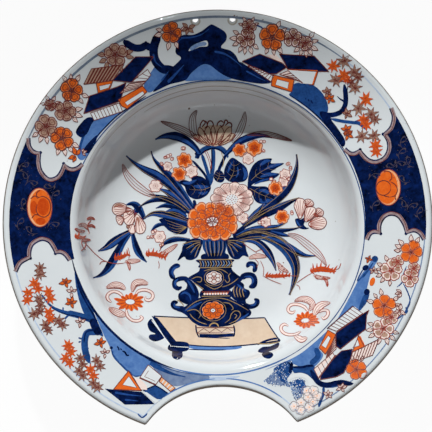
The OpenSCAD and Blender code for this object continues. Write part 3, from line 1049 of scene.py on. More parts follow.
# %% Long blades
BLADE_SPREAD = 1.16
BLADES = [
    ("cobalt", 4.8, 0.3, [],
     [(-11, 49), (-13.4, 52.6), (-18, 56.8), (-24, 59.8), (-30, 60.6), (-35.4, 59.8), (-39.2, 58.2)]),
    ("cobalt", 4.9, -0.4, [0.8],
     [(-16, 12), (-21, 18.6), (-27, 25.4), (-33, 31), (-39, 35.4), (-46, 39), (-52.6, 43), (-58, 47.6)]),
    ("blue", 3.8, 0.5, [0.9],
     [(-15, 13), (-19, 19.4), (-24.4, 27.4), (-30, 34.6), (-36, 40.6), (-40.4, 46), (-42, 51)]),
    ("cobalt", 3.8, -0.3, [0.6], [(-18, 13), (-24, 18.6), (-30, 23), (-34, 25.2), (-38.6, 26.8)]),
    ("blue", 3.2, 0.5, [-0.8],
     [(-18, 10.6), (-24, 15.2), (-30, 18.4), (-36, 20), (-41, 19.4), (-46, 17.6), (-50.6, 14.8)]),
    ("blue", 2.6, -0.4, [0.7], [(-20, 12), (-26, 16.8), (-32, 20), (-38, 21.8), (-44, 23.2)]),
    ("blue", 3.0, 0.5, [], [(-20, 10.4), (-25, 13.6), (-30, 15.6), (-35, 15.6), (-39.6, 14)]),
    ("cobalt", 3.6, -0.4, [0.5], [(-20, 8), (-24.6, 11), (-29, 12.2), (-33.8, 11.4)]),
    ("cobalt", 4.0, 0.5, [0, -0.8],
     [(-19, 5), (-24, 6.8), (-30, 8.8), (-36, 10.2), (-42, 10.4), (-47.4, 7.6)]),
    ("blue", 2.2, 0.4, [], [(-32, 3), (-36.4, 3.6), (-40, 2.2), (-43, -0.8)]),
    ("blue", 3.0, 0.6, [-0.8], [(-18, -6.8), (-25, -6), (-30, -6.6), (-34.6, -8.8), (-37.2, -12.4)]),
    ("blue", 3.8, 0.4, [], [(-47, 7), (-48.6, 11), (-51, 15), (-54.6, 17.2), (-58.8, 16.4)]),
    ("blue", 3.4, 0.4, [], [(-49.6, 15.4), (-52, 12.8), (-53.4, 10)]),
    ("cobalt", 4.6, 0.4, [-0.2], [(-56, -0.6), (-62, -4), (-67, -7.6), (-72, -11.4), (-76.8, -13.8)]),
    ("blue", 4.5, -0.55, [],
     [(-56.6, -2), (-61, -8), (-64.4, -14), (-67.6, -20), (-71, -25.4), (-75, -29.4), (-79.6, -32)]),
    ("blue", 3.8, 0.5, [], [(-54.8, -2.4), (-53.6, -8), (-52, -13), (-49.6, -17), (-46, -20.8)]),
    ("cobalt", 4.0, 0.3, [],
     [(5.5, 47.5), (9, 51), (13, 54.6), (18, 57.6), (24, 59.4), (30, 59.6), (36, 58.2)]),
    ("blue", 5.0, -0.5, [-0.95, 0.4],
     [(16, 2), (22, 6.6), (29, 11.4), (36, 16.6), (42, 21.6), (47, 27.6), (50.4, 34.6), (51.8, 41),
      (51.6, 47)]),
    ("blue", 4.6, -0.5, [0.3, 0.9], [(18, 2), (27, 7.4), (34, 10.6), (41, 13.6), (47, 16.6), (53, 19)]),
    ("cobalt", 3.2, 0.4, [-0.8], [(16, 2), (22, 7), (26, 11), (30, 16)]),
    ("cobalt", 2.8, 0.3, [-0.9], [(12, -4.4), (19, -1.2), (26, 0.2), (33, 0.4), (39, 1.2), (45, 3.8)]),
    ("blue", 2.6, -0.4, [0.8], [(20, -1.2), (32, -1.6), (42, -1.8), (50, -0.8), (54.6, 0.6)]),
    ("blue", 6.6, 0.25, [0.55, 0.85, -0.3],
     [(12, -7), (20, -5), (28, -4.6), (35, -7), (41, -11), (46, -16.6), (49, -23), (49.6, -29), (48, -36),
      (45.2, -43.6)]),
    ("cobalt", 4.0, 0.5, [-0.7],
     [(28, -5), (37, -8.4), (44, -11.8), (50, -15.6), (56, -18.4), (62.6, -18.8)]),
    ("cobalt", 4.2, -0.4, [0.1],
     [(14, -7), (23, -8), (28.6, -11.6), (32.8, -17), (35.4, -22.4), (36.9, -27.8)]),
    ("cobalt", 2.4, 0.3, [], [(34, -2), (40, -4), (46.4, -5.8)]),
]
for under, width, side, veins, points in BLADES:
    width *= BLADE_SPREAD
    stroke(under, points, width, "blade")
    second, share = ("cobalt", 0.62) if under == "blue" else ("sheen", 0.4)
    stroke(second, beside(points, width, side * 0.8, "blade"), width * share, "blade")
    for vein in veins:
        stroke("gold", beside(points, width, vein, "blade"), 0.24)
FAN_LEAF = [
    (-19.6, 3.6), (-23, 6.4), (-30, 8.2), (-37.4, 7), (-36.6, 5), (-34, 2), (-31, -0.8), (-26, -2.8),
    (-21, -2.8), (-19.4, 0),
]
fill("cobalt", FAN_LEAF)
for i in range(5):
    stroke("gold", [(-20, 1.4), (-26, 3.6 - 1.6 * i), (-33.6 + 1.2 * i, 6.4 - 2.2 * i)], 0.4, "tail")
stroke("cobalt", [(-15, 19), (-14.4, 14.6), (-16, 10)], 2.2)
strokes("cobalt", [[(10, -5), (17, 1), (24, 7)], [(10, -6), (20, -3.6), (30, -2.8)],
                   [(-15, 4), (-22, 7), (-30, 9)]], 4.0, "tail")
stroke("gold", [(14, -8.6), (20, -7.2), (28, -6.6), (33, -5.2), (39, -6.4), (44.6, -10.6)], 0.4)
stroke("gold", [(15, -3.6), (21, -2.4), (27, -2.8), (33, -4.6)], 0.35)
PALE_BLADES = [
    ("brown", [(-9, 55), (-15, 60.6), (-22, 64.6), (-29, 67.2), (-35.4, 69.2)], 3.6),
    ("brown", [(-11, 57), (-14.4, 63), (-15, 69), (-14.2, 73), (-12, 76)], 4.6),
    ("redline", [(-40, 21.6), (-47, 25.4), (-53, 30), (-58, 36), (-60.4, 42.4)], 5.0),
    ("brown", [(10, 56), (14.4, 61.4), (16.8, 66.4), (18.2, 70), (18.9, 74.6)], 4.2),
    ("brown", [(20, 60.4), (30, 61), (38, 59.2), (48.8, 55.6)], 2.8),
    ("redline", [(45, -4.4), (51, -6.4), (57, -11), (62.6, -16), (66.4, -20.4), (69.2, -25.4)], 4.6),
]
for line, points, width in PALE_BLADES:
    lined_leaf(points, width, 2, None, line)
print("blades:", len(BLADES) + len(PALE_BLADES), "with", strokes_made, "strokes so far")

# %% [markdown]
# The broad leaves are outlines filled with cobalt. Lighter strokes lie between their veins, and the veins
# branch off a midrib: they leave it at even steps on both sides and lean towards the tip.

# %% Broad dark leaves among the flowers
start_motif("broad_leaves")
BROAD_LEAVES = [
    ([(-25, 30.4), (-21, 32), (-16.4, 31), (-16.4, 34.6), (-11, 34.4), (-7, 32), (-4, 27.6), (-5, 24),
      (-8, 21), (-13, 19.4), (-17.6, 21), (-20, 24.6), (-21, 28)], [(-4.6, 27), (-10, 25.4), (-18, 26)]),
    ([(4.6, 35.4), (6, 41), (10, 45.8), (15, 43), (19, 39.4), (20.2, 34), (17.4, 30.4), (10, 30), (6, 32)],
     [(8, 31), (11, 37), (11, 44)]),
    ([(21, 36), (24, 41.4), (29, 44.4), (35.6, 44.8), (35.2, 41.8), (43.4, 41.6), (38.4, 38.4), (35, 36),
      (40.4, 34.8), (36, 31.4), (30, 29.8), (24, 29), (20, 25.6), (20, 31)],
      [(22, 31), (28, 36), (38, 41)]),
    ([(21, 27.4), (26, 27), (32, 26.6), (35.4, 22.6), (37.2, 18.6), (33, 15.8), (27, 16), (23.8, 18.6),
      (22.6, 22.4), (19.4, 25.2)], [(21, 26), (27, 22.4), (35, 19)]),
    ([(0, 38), (3.6, 37), (5, 32.4), (3, 30), (-0.6, 31), (-2, 34)], [(0, 31), (1.6, 34), (1.8, 37)]),
]
for outline, midrib in BROAD_LEAVES:
    fill("cobalt", outline)
    stroke("gold", midrib, 0.3, "tail")
    root, middle, tip = plan(midrib)
    across = Vector((root.y - tip.y, tip.x - root.x)).normalized()
    for i in range(1, 4):
        share = i / 4
        here = middle.lerp(tip, 2 * share - 1) if share > 0.5 else root.lerp(middle, 2 * share)
        reach = 4.6 * math.sin(math.pi * (0.2 + 0.7 * share))
        for side in (-1, 1):
            bend = here + (tip - root) * 0.08 + across * side * reach * 0.55
            stroke("gold", [here, bend, here + (tip - root) * 0.2 + across * side * reach], 0.16, "tail")
LEAF_LIGHTS = [
    ([(-22, 30.4), (-18, 30), (-13, 32)], 2.0), ([(-15, 28), (-10, 27.4), (-5.4, 27.4)], 2.4),
    ([(-12, 23.6), (-8.6, 23), (-6, 24.4)], 1.8), ([(17.2, 31.6), (18.8, 35), (17, 39.4)], 2.4),
    ([(7, 36), (8.6, 40), (10.4, 43.4)], 1.4), ([(28, 40.6), (32, 43.2), (35, 43.4)], 2.2),
    ([(31, 38), (36, 40), (42, 41.4)], 2.0), ([(28, 33), (33, 34.6), (39, 34.8)], 2.2),
    ([(24, 28.4), (29, 30.6), (34, 31.8)], 1.4), ([(25, 19), (30, 17.4), (36, 18.6)], 2.8),
    ([(27, 24.4), (31.4, 23.8), (34.8, 21)], 2.2), ([(12.4, 33), (13.8, 36), (13.4, 40)], 1.2),
]
for points, width in LEAF_LIGHTS:
    stroke("sheen", points, width, "leaf")
print("broad leaves:", strokes_made, "strokes so far")

# %% Stems under the lotus
STEMS = [
    ("blue", 2.6, [(-2, 53), (-2, 45), (-3, 36), (-4.4, 28)]),
    ("blue", 2.2, [(-9.4, 48.6), (-7.4, 42), (-5.4, 35), (-4.2, 29)]),
    ("cobalt", 1.6, [(-15.6, 44.6), (-12, 40.6), (-7.6, 35), (-5, 29)]),
    ("cobalt", 2.0, [(6, 48), (4, 43.6), (1.8, 39), (1, 35)]),
    ("blue", 3.2, [(-13.6, 46), (-11.4, 48.8), (-7.6, 51.8), (-2, 53.4), (3, 52), (6, 49), (7.4, 46)]),
    ("cobalt", 2.0, [(-14, 49), (-11.6, 48.4), (-12.4, 45.6)]),
    ("cobalt", 1.0, [(-3, 52), (-2.9, 45), (-4, 36)]),
    ("cobalt", 1.1, [(-11, 47.6), (-7, 50.6), (-2, 52.2), (2.6, 50.8), (6, 47.4)]),
]
for pigment_name, width, points in STEMS:
    stroke(pigment_name, points, width)
strokes("redline", [[(-7.6, 50.6), (-5.2, 45), (-3.8, 38)], [(-6.4, 51), (-4, 45), (-3.2, 39)]], 0.4)
stroke("gold", [(3, 50), (4.6, 44), (3.8, 40)], 0.4)
print("broad leaves and stems:", strokes_made, "strokes so far")

# %% [markdown]
# The flowers are enamels. A lotus stands at the top, chrysanthemums in orange and in pink fill the
# middle, and a poppy nods at each side. Petals that are repeated round a centre come from a loop, and the
# others each have an outline of their own.

# %% The lotus
start_motif("lotus")
LOTUS_PETALS = [
    ([(-15, 60.4), (-12, 58), (-8, 55), (-4.4, 54), (-7, 56.6), (-11, 61)], (-4, 54)),
    ([(12.4, 60.6), (10, 57.4), (6, 55), (1.6, 54), (5, 57), (9.4, 61.4)], (1, 54)),
    ([(-4.6, 54.6), (-9.6, 58), (-11.6, 63), (-10.6, 65.8), (-7.6, 63), (-5.6, 58)], (-3, 54.6)),
    ([(1.4, 54.4), (7, 57), (9.8, 61), (9.8, 65.6), (6.6, 64), (3.6, 58)], (0.6, 54.6)),
    ([(-3, 54.4), (-6.8, 58.4), (-7.4, 63), (-5, 66.2), (-3, 63), (-2.4, 58)], (-2.6, 54.4)),
    ([(-0.4, 54.4), (3.6, 57.6), (5.2, 62), (3.4, 65.8), (1, 63), (0, 58)], (-0.6, 54.4)),
    ([(-2, 53.8), (-3.9, 58), (-3.6, 62.6), (-1.9, 66.8), (-0.2, 62.6), (-0.1, 58)], (-2, 54.2)),
]
LOTUS_BULB = [
    (-2, 53.6), (-7, 55.6), (-10.6, 59.6), (-11.4, 64), (-8, 66.4), (-2, 67), (4, 66.6), (9.6, 65.8),
    (10, 61), (6.6, 56.4), (2, 54),
]
fill("flesh", LOTUS_BULB)
for outline, base in LOTUS_PETALS:
    lined_petal(outline, base, 2, "flesh", "brown")
CURLS = [
    [(-10.4, 65), (-9.8, 68), (-8, 70), (-6.8, 68.6), (-8, 67), (-9, 66)],
    [(-8, 69.8), (-6, 69), (-5.6, 66.6), (-7.4, 65)],
    [(-5.8, 66.6), (-4.6, 69.4), (-2.6, 69.4), (-1.6, 67.4), (-2.2, 66)],
    [(0.6, 66), (1.4, 68.4), (3.4, 69.6), (5, 68.4)],
    [(2.4, 67), (4, 66.2), (5.2, 67.6), (6, 69.8), (7.4, 69.6), (7.8, 67.8)],
    [(6, 66.6), (8.4, 68.4), (10.2, 67.4), (10, 65)],
]
strokes("brown", CURLS, 0.75)
for x in (-6.4, -4.6, -1.9, 0.8, 2.8):
    stroke("redline", [(-1.9, 54.6), (x, 57.6), (x * 1.2 + 0.3, 61)], 0.4, "tail")
print("lotus:", strokes_made, "strokes so far")

# %% The orange chrysanthemum
ORANGE_HEART = Vector((-3.4, 4.8))
ORANGE_FLAT = 0.8


def petals_round(heart, flat, tip_r, length, count, turn):
    """Where the petals of a ring sit and point, in a flower that is seen a little from the side."""
    for i in range(count):
        a = math.tau * (i + turn) / count
        out = Vector((math.cos(a), flat * math.sin(a)))
        yield heart + out * tip_r - out.normalized() * length, math.degrees(math.atan2(out.y, out.x))


start_motif("orange_chrysanthemum")
fill("peach", scallop(ORANGE_HEART, 14, 12, 0.05, 0, ORANGE_FLAT))
random.seed(13)
for tip_r, ring_length, count, turn in ((16.8, 8.4, 12, 0.2), (11.8, 7.4, 9, 0.55), (7.4, 5.8, 6, 0.1)):
    for at, way in petals_round(ORANGE_HEART, ORANGE_FLAT, tip_r, ring_length, count, turn):
        length = ring_length * random.uniform(0.86, 1.1)
        way += random.uniform(-9, 9)
        fill("peach", placed(PETAL, at, way, length))
        fill("red", placed([(0.46 + (x - 0.5) * 0.8, y * 0.74) for x, y in PETAL], at, way, length))
        stroke("redline", placed(PETAL, at, way, length), 0.42, "even", True)
        stroke("redline", placed([(0.25, 0), (0.62, 0)], at, way, length), 0.28, "tail")
for at, way in petals_round(ORANGE_HEART, ORANGE_FLAT, 4.2, 4.0, 5, 0.25):
    fill("red", placed(PETAL, at, way, 4.4))
    fill("reserve", placed(PETAL, at, way, 3.6))
    stroke("brown", placed(PETAL, at, way, 4.4), 0.45, "even", True)
    stroke("brown", placed([(0.2, 0), (0.7, 0)], at, way, 4.4), 0.3, "tail")
print("orange chrysanthemum:", strokes_made, "strokes so far")

# %% The pink chrysanthemum
PINK_HEART = Vector((9.4, 18.9))
PINK_R = 14.0
PINK_FLAT = 0.8

start_motif("pink_chrysanthemum")
random.seed(17)
fill("pink", scallop(PINK_HEART, PINK_R, 12, 0.09, 6, PINK_FLAT))
stroke("brown", scallop(PINK_HEART, PINK_R, 12, 0.09, 6, PINK_FLAT), 0.42, "even", True)
for i in range(72):
    a = math.radians(6 + 5 * i)
    out = Vector((math.cos(a), PINK_FLAT * math.sin(a)))
    seam = i % 6 == 0
    start = PINK_HEART + out * PINK_R * (0.34 if seam else random.uniform(0.37, 0.55))
    end = PINK_HEART + out * PINK_R * (0.9 if seam else random.uniform(0.79, 0.94))
    stroke("brown" if seam else "redline", [start, end], 0.45 if seam else 0.3)
dot("reserve", PINK_HEART, 8.0, 0.82)
for r, count in ((4.0, 14), (2.6, 9), (1.0, 4)):
    for i in range(count):
        a = math.tau * i / count
        dot("redline", (PINK_HEART[0] + r * math.cos(a), PINK_HEART[1] + r * 0.82 * math.sin(a)), 0.65)
print("pink chrysanthemum:", strokes_made, "strokes so far")

# %% The poppies at the sides
start_motif("poppies")
POPPY_PETALS = [
    (5, (-54.6, 13.4),
     [(-58.5, 14.9), (-55.9, 14.1), (-54.1, 12.6), (-54.5, 10.8), (-56.7, 10), (-58.9, 12.2)]),
    (7, (-54, 13),
     [(-67.6, 13.7), (-66.7, 16.3), (-64.1, 17.7), (-60.4, 17.3), (-58.5, 15.6), (-58.9, 12.6),
      (-60.4, 11.1), (-62.6, 9.6), (-65.2, 10), (-67.1, 11.5)]),
    (6, (-59, 9),
     [(-65.2, 8.9), (-63, 9.3), (-60.8, 8.5), (-60.6, 5.9), (-61.9, 3.7), (-63.7, 4), (-65, 6.3)]),
    (6, (-51, 13.6),
     [(-60.4, 11.1), (-57.4, 12.6), (-54.5, 11.9), (-53.3, 8.5), (-53.7, 5.5), (-55.9, 3.3), (-58.5, 3.7),
      (-60.4, 6.6)]),
    (2, (-54, 5), [(-57.4, 2.9), (-54.1, 3.7), (-53, 0.7), (-53.3, -1.6), (-55.9, -1.9), (-57.4, -0.1)]),
    (6, (-51.6, 11),
     [(-53.3, 8.9), (-51.5, 10), (-49.3, 8.1), (-47, 4.8), (-46.3, 1.8), (-47.4, -1.2), (-49.6, -2.3),
      (-51.9, -1.7), (-53, 0.7), (-53, 4.8)]),
    (8, (56, 12),
     [(55.8, 16.6), (57.3, 17.9), (59.2, 18), (61, 16.9), (62.2, 14.7), (61, 13.4), (59.2, 13.2),
      (57.3, 13.6)]),
    (8, (61, 6), [(63.3, 11), (64.8, 12.1), (66.6, 11.3), (68.2, 9.5), (67.8, 7.3), (66.3, 6.7),
                  (64.4, 7.6), (63.5, 9.1)]),
    (7, (53.2, 4),
     [(49.4, 13.6), (50.2, 16.2), (52, 18.6), (54.7, 18.4), (56.5, 16.9), (57.1, 13.9), (56.2, 11), (55, 8),
      (53.7, 5.8), (52.2, 6.1), (50.9, 9.1)]),
    (6, (55.4, 2),
     [(57.1, 12.5), (59.2, 13), (61.8, 12.8), (63.3, 11.3), (63.6, 9.5), (62.5, 7.2), (60.7, 5.4),
      (58.4, 3.9), (56.5, 3.5), (55.8, 6.5), (56.2, 9.5)]),
    (8, (56.6, 1.6),
     [(58.4, 2), (60.3, 4.3), (62.9, 6.1), (65.9, 6.5), (68.2, 5.8), (69.8, 3.5), (69.8, 1.3), (68.2, -0.9),
      (65.5, -1.9), (62.5, -1.5), (59.9, -0.2)]),
]
for lines, base, outline in POPPY_PETALS:
    lined_petal(outline, base, lines, "pink", "redline")
stroke("tan", [(-66.6, 15.2), (-63.8, 16.6), (-59.6, 15.8)], 1.5, "leaf")
stroke("redline", [(-67, 14.4), (-63.8, 15.6), (-59, 14.8)], 0.4)
stroke("tan", [(-51.6, 8.6), (-50.8, 5.6), (-50.4, 2.6)], 1.6, "tail")
dot("tan", (-57.6, 2.4), 2.2)
stroke("brown", scallop((-57.6, 2.4), 1.1, 6, 0.0), 0.4, "even", True)
CALYX = [
    (49.8, 5), (51.7, 5.8), (53.5, 5), (55.8, 6.1), (56.3, 3.9), (55.4, 1.7), (56.9, -0.2), (58.8, -0.6),
    (56.5, -1.5), (53.2, -0.9), (50.9, 1.3),
]
fill("cobalt", CALYX)
stroke("sheen", [(50.8, 4.6), (51.8, 2.2), (53.6, 0.4)], 1.2, "leaf")
print("large flowers:", strokes_made, "strokes so far")

# %% Small blossoms
start_motif("blossoms")
SMALL_BLOSSOMS = [
    ("red", (-20.6, 44.8), 5.0, 10), ("red", (-24.2, 36), 4.8, 40), ("pink", (-16.4, 37.6), 4.2, 0),
    ("pink", (-39.6, 28.4), 4.2, 30), ("red", (15, 50.6), 4.4, 20), ("red", (24.6, 51.8), 5.4, 50),
    ("pink", (20.4, 45), 3.8, 0), ("red", (37.6, 25.6), 4.8, 15), ("red", (41.6, 7), 4.7, 30),
    ("pink", (31, 3.8), 3.4, 0), ("pink", (-37.4, -4.4), 4.0, 25), ("pink", (44, 34.4), 3.6, 12),
    ("pink", (42.8, 29.6), 3.4, 40), ("pink", (16.2, 7), 3.6, 0), ("pink", (-31.6, 41), 3.0, 15),
]
for inside, at, r, turn in SMALL_BLOSSOMS:
    blossom(at, r, turn, inside)
random.seed(5)
BUDS = [
    (-22, 52), (-30, 47.6), (-35.4, 43.4), (-28, 45), (-33.6, 47.6), (46.4, 38), (29.8, 55), (31, 50.6),
    (47, 40.6), (46.6, 31.4), (47.2, 9.4), (-43.6, -3.6), (-41.4, -1.4), (36, 31), (28, 4), (-36, -9),
]
for x, y in BUDS:
    for i in range(2):
        at = (x + random.uniform(-1.3, 1.3), y + random.uniform(-1.1, 1.1))
        dot("pink", at, 1.9, 0.8, 70 * i)
        stroke("redline", scallop(at, random.uniform(0.8, 1.2), 5, 0.1), 0.35, "even", True)
print("blossoms:", len(SMALL_BLOSSOMS), "and", len(BUDS), "tufts of buds")

# %% [markdown]
# Light sprigs in red and brown float in the white on both sides, and a scrolling flower lies at each side
# of the table. They are drawn with the point of the brush: thin stems, toothed leaves and curled
# tendrils.

# %% Red sprigs
start_motif("sprigs")


def toothed_leaf(points, width):
    """A red leaf with long teeth above, short ones below and dark veins."""
    stroke("scarlet", points, width * 0.62, "leaf")
    path = smooth_path(points)
    last = len(path) - 1
    for i in range(1, last, 3):
        along = (path[i + 1] - path[i - 1]).normalized()
        for side, reach in ((1, random.uniform(0.5, 1.15)), (-1, random.uniform(0.25, 0.6))):
            out = Vector((-along.y, along.x)) * side
            tip = path[i] + along * random.uniform(0.2, 1.6) + out * reach * width * 0.75
            stroke("scarlet", [path[i], tip], 1.6, "tail")
            stroke("redline", [path[i], path[i].lerp(tip, 1.1)], 0.26)
    stroke("redline", points, 0.45)


random.seed(3)
TOOTHED_LEAVES = [
    ([(-90.4, -7), (-88, -6.6), (-85, -6.8)], 4.2), ([(-66.8, -18.4), (-63, -17.6), (-58, -15.4)], 4.2),
    ([(-46.6, -15.8), (-41, -15.6), (-34, -17.8)], 4.4), ([(30, -31), (37, -31.2), (46, -31)], 3.6),
    ([(59, -28.8), (66, -27.6), (75, -30)], 5.4),
]
for points, width in TOOTHED_LEAVES:
    toothed_leaf(points, width)
PALE_LEAVES = [
    ([(-60, -20.4), (-56, -20), (-50, -19.6)], 2.6), ([(-58.6, -20), (-57.4, -23), (-57, -26)], 1.6),
    ([(-37, -16), (-31.4, -13), (-26, -9.4)], 2.6), ([(19.6, -19.4), (25, -18), (31, -18.6)], 2.8),
    ([(61, -31.4), (66, -33.4), (71.4, -34)], 2.2), ([(67, -33), (69, -36), (69.4, -39.6)], 1.4),
    ([(37.6, -22.4), (41, -26.4), (45, -29)], 2.4), ([(-88, 0.6), (-85, 2), (-83, -0.6)], 2.2),
    ([(-90.4, -1.6), (-87.4, -2.6), (-84.6, -1.6)], 1.8), ([(-83.4, 6), (-80.8, 7.2), (-78.6, 6.4)], 1.4),
    ([(-83, 1.4), (-80.6, 2.4), (-78.4, 1)], 1.4), ([(-86.4, -9), (-84, -7.4), (-81.4, -7)], 1.6),
]
for points, width in PALE_LEAVES:
    lined_leaf(points, width, 2)
TWIGS = [
    [(-85, -9), (-82, -12.4), (-78, -16.4), (-73, -20), (-66, -21.6), (-60, -21)],
    [(-86.6, -9), (-86, -12), (-84.4, -14)], [(-84, -9), (-84.6, -12), (-86.6, -15.4)],
    [(-82, -3), (-83, 2), (-81, 5.6)], [(-76, -22.6), (-74.6, -20.6), (-72, -20.4)],
    [(-58, -11), (-57, -15), (-57.6, -19)], [(-38, -9), (-37, -12), (-38, -14)],
    [(-38.6, -20), (-38, -22.6), (-38.4, -25)], [(-46, -5.6), (-43, -5), (-41.4, -3)],
    [(16, -9.6), (20, -12.6), (25, -16)], [(27, -21), (29, -26), (28.6, -31.4)],
    [(28.6, -31), (34, -34), (40.4, -36.6)], [(24, -15.4), (27.6, -14), (29, -16)],
    [(23.6, -20), (25.6, -22.6), (24.4, -25.4)], [(45, -31), (48, -31.4), (52, -31.6)],
    [(60, -29.8), (55, -32.6), (50, -36)], [(49.6, -37), (51.6, -38.4), (52, -40.6)],
    [(75, -29), (77, -28), (78.2, -25)], [(63, -31), (62, -33), (64, -34.4)],
    [(39, -24), (38.6, -27), (40.4, -29)],
]
strokes("redline", TWIGS, 0.42)
random.seed(11)
SEEDS = [(38, -28, 45, -22, 12), (-90, -3, -82, 2, 6), (62, -35, 70, -32, 7), (-58, -23, -51, -20, 5)]
for x0, y0, x1, y1, count in SEEDS:
    for i in range(count):
        at = (random.uniform(x0, x1), random.uniform(y0, y1))
        dot(random.choice(["brown", "pink"]), at, random.uniform(0.5, 0.9))
print("sprigs:", len(TOOTHED_LEAVES), "red leaves,", len(PALE_LEAVES), "pale leaves,", len(TWIGS), "twigs")

# %% Scrolling flowers beside the table
start_motif("scroll_flowers")


def tendril(points, width):
    """A curled ribbon in pale red, outlined."""
    stroke("pink", points, width)
    for side in (-1, 1):
        stroke("redline", beside(points, width, side, "soft"), 0.36)


def crest_leaf(points, width):
    """A curled leaf with lines along it and short dark dashes on its outer edge."""
    lined_leaf(points, width, 3)
    outer = beside(points, width, 1.0)
    inner = beside(points, width, 0.55)
    for start, end in list(zip(outer, inner))[1:-1]:
        stroke("brown", [start, end], 0.6, "tail")


def rayed_flower(at, r, rays, squash):
    """An orange flower with slender rays round an open oval heart."""
    for i in range(rays):
        angle = math.tau * i / rays
        out = Vector((math.cos(angle), squash * math.sin(angle)))
        way = math.degrees(math.atan2(out.y, out.x))
        reach = r * out.length * random.uniform(0.74, 1.14)
        ray = placed([(0.3, 0), (0.65, 0.03), (1.0, 0)], at, way, reach)
        stroke("red", ray, r * random.uniform(0.24, 0.34), "leaf")
        stroke("scarlet", ray, r * 0.1, "leaf")
        stroke("redline", ray, 0.26)
    fill("red", scallop(at, r * 0.46, 8, 0.0, 0, squash))
    fill("reserve", scallop(at, r * 0.33, 8, 0.0, 0, squash * 0.8))
    stroke("redline", scallop(at, r * 0.34, 8, 0.0, 0, squash * 0.8), 0.4, "even", True)


random.seed(29)
rayed_flower((-57, -46.6), 9.0, 13, 0.76)
rayed_flower((54.8, -61.2), 8.4, 14, 0.72)
CREST_LEAVES = [
    [(-60, -38.4), (-63, -36.2), (-67, -35.8), (-71.8, -37.8)],
    [(-45.4, -34.8), (-50, -33.6), (-54, -35), (-55.6, -40)],
    [(57.6, -54.6), (59.6, -51), (57.4, -47.8), (53, -46.6), (48.4, -47.8)],
]
for points in CREST_LEAVES:
    crest_leaf(points, 4.2)
TENDRILS = [
    [(-61, -43.6), (-64, -40.8), (-67.6, -40), (-70.6, -42), (-71, -45), (-68.6, -47.6)],
    [(-53.6, -42.4), (-52, -39.6), (-47.6, -38.6), (-43.4, -40.2), (-42.4, -43), (-44.6, -45.4),
     (-47.6, -44.4), (-46.8, -42.9)],
    [(-59.4, -51.6), (-58.8, -55.6), (-55.6, -58.8), (-51.6, -59), (-49.4, -57), (-51, -55.6)],
    [(57, -56), (55, -52.4), (51, -50.2), (46.6, -50), (44.2, -52.2), (44.8, -54.8), (47.8, -55.2),
     (48.4, -53.6)],
    [(62, -56.6), (66, -55.4), (68.6, -57), (67.8, -60), (65.6, -61.4), (64.6, -60)],
    [(44, -64.2), (41.6, -62.8), (39.4, -64.4), (39.8, -67.4), (43, -69.8), (48, -70.2), (51.4, -68.4)],
]
for points in TENDRILS:
    tendril(points, 1.7)
lined_leaf([(-59.6, -55.6), (-64.4, -54.4), (-69.8, -51.6)], 4.8, 3)
lined_leaf([(60.4, -58), (62.4, -54), (65.6, -51.4), (70.4, -50.8)], 4.8, 2)
lined_leaf([(47.6, -71), (50, -73.6), (52, -74.4), (55, -73.2)], 3.8, 1)
print("scrolling flowers done:", strokes_made, "strokes so far")

# %% [markdown]
# The brim is divided by two dark blue grounds, one at each side, and the landscapes lie in the white
# panels between them. Thin blue lines run along the well's edge and inside the rim and the notch. The
# line inside the edge is drawn at an even distance from the outline, and points that come closer than
# that at the horns are dropped, which leaves a clean corner there.

# %% Lines round the brim
RIM_LINE_INSET = 3.9
WELL_LINE_CENTRE = (-0.65, -2.2)
WELL_LINE_R = 93.5

start_motif("edge_lines")


def arc(centre, r, start, end):
    """Points of an arc, from one angle in degrees to another."""
    steps = max(round(abs(end - start) / 4), 3)
    turns = [math.radians(start + (end - start) * i / steps) for i in range(steps + 1)]
    return [(centre[0] + r * math.cos(a), centre[1] + r * math.sin(a)) for a in turns]


def inset_outline(inset):
    """The brim's outline drawn in by an even distance, from the middle of the notch and round to it again."""
    line = []
    for point, out in zip(brim_outline, edge_out):
        moved = point.xy - inset * out.xy.normalized()
        if min((moved - p.xy).length for p in brim_outline) > inset * 0.985:
            line.append(moved)
    line.sort(key=lambda p: (math.atan2(p.y, p.x) + math.pi / 2) % math.tau)
    return line


rim_line = inset_outline(RIM_LINE_INSET)
stroke("pale", rim_line, 0.8, "even", True)


def along_rim(start, end):
    """The stretch of the rim line between two angles in degrees, counted from the notch's middle."""
    return [p for p in rim_line if start <= (math.degrees(math.atan2(p.y, p.x)) + 90) % 360 <= end]


stroke("mist", along_rim(21, 92), 0.65)
# Painted shade: along the top of the brim the rim line is drawn in a darker, greyer blue.
stroke("rim_blue", along_rim(140, 250), 1.4)
stroke("wash", along_rim(2, 19), 0.8)
stroke("wash", along_rim(341, 358), 0.8)
stroke("blue", [(-52, -119.5), (-50.6, -121), (-48.8, -121.8), (-46, -119.4)], 0.9)
stroke("blue", arc(WELL_LINE_CENTRE, WELL_LINE_R, -75, 195), 0.6)
stroke("wash", arc(WELL_LINE_CENTRE, WELL_LINE_R, -110, -60), 0.9)
stroke("cobalt", arc(WELL_LINE_CENTRE, WELL_LINE_R, 192, 252), 1.5)
print("rim line:", len(rim_line), "points")

# %% [markdown]
# Each ground is one sheet of full cobalt between the rim and the well. Its ends are cut out in cusped
# lobes, with a band of worn gilding and a dark line along them. The gold scrolls that covered the blue
# are rubbed to ghosts.

# %% The blue grounds
GROUND_INNER_R = 93.2
GROUND_OUTER_R = 130.9
BAND = 1.9
EDGE_LINE = 0.9
EDGE_SHIFT = 1.3


def arc_between(r, first, second):
    """The short arc round the axis from beside one point to beside another."""
    start = math.degrees(math.atan2(first.y, first.x))
    sweep = math.degrees(math.atan2(second.y, second.x)) - start
    return plan(arc((0, 0), r, start, start + (sweep + 180) % 360 - 180))


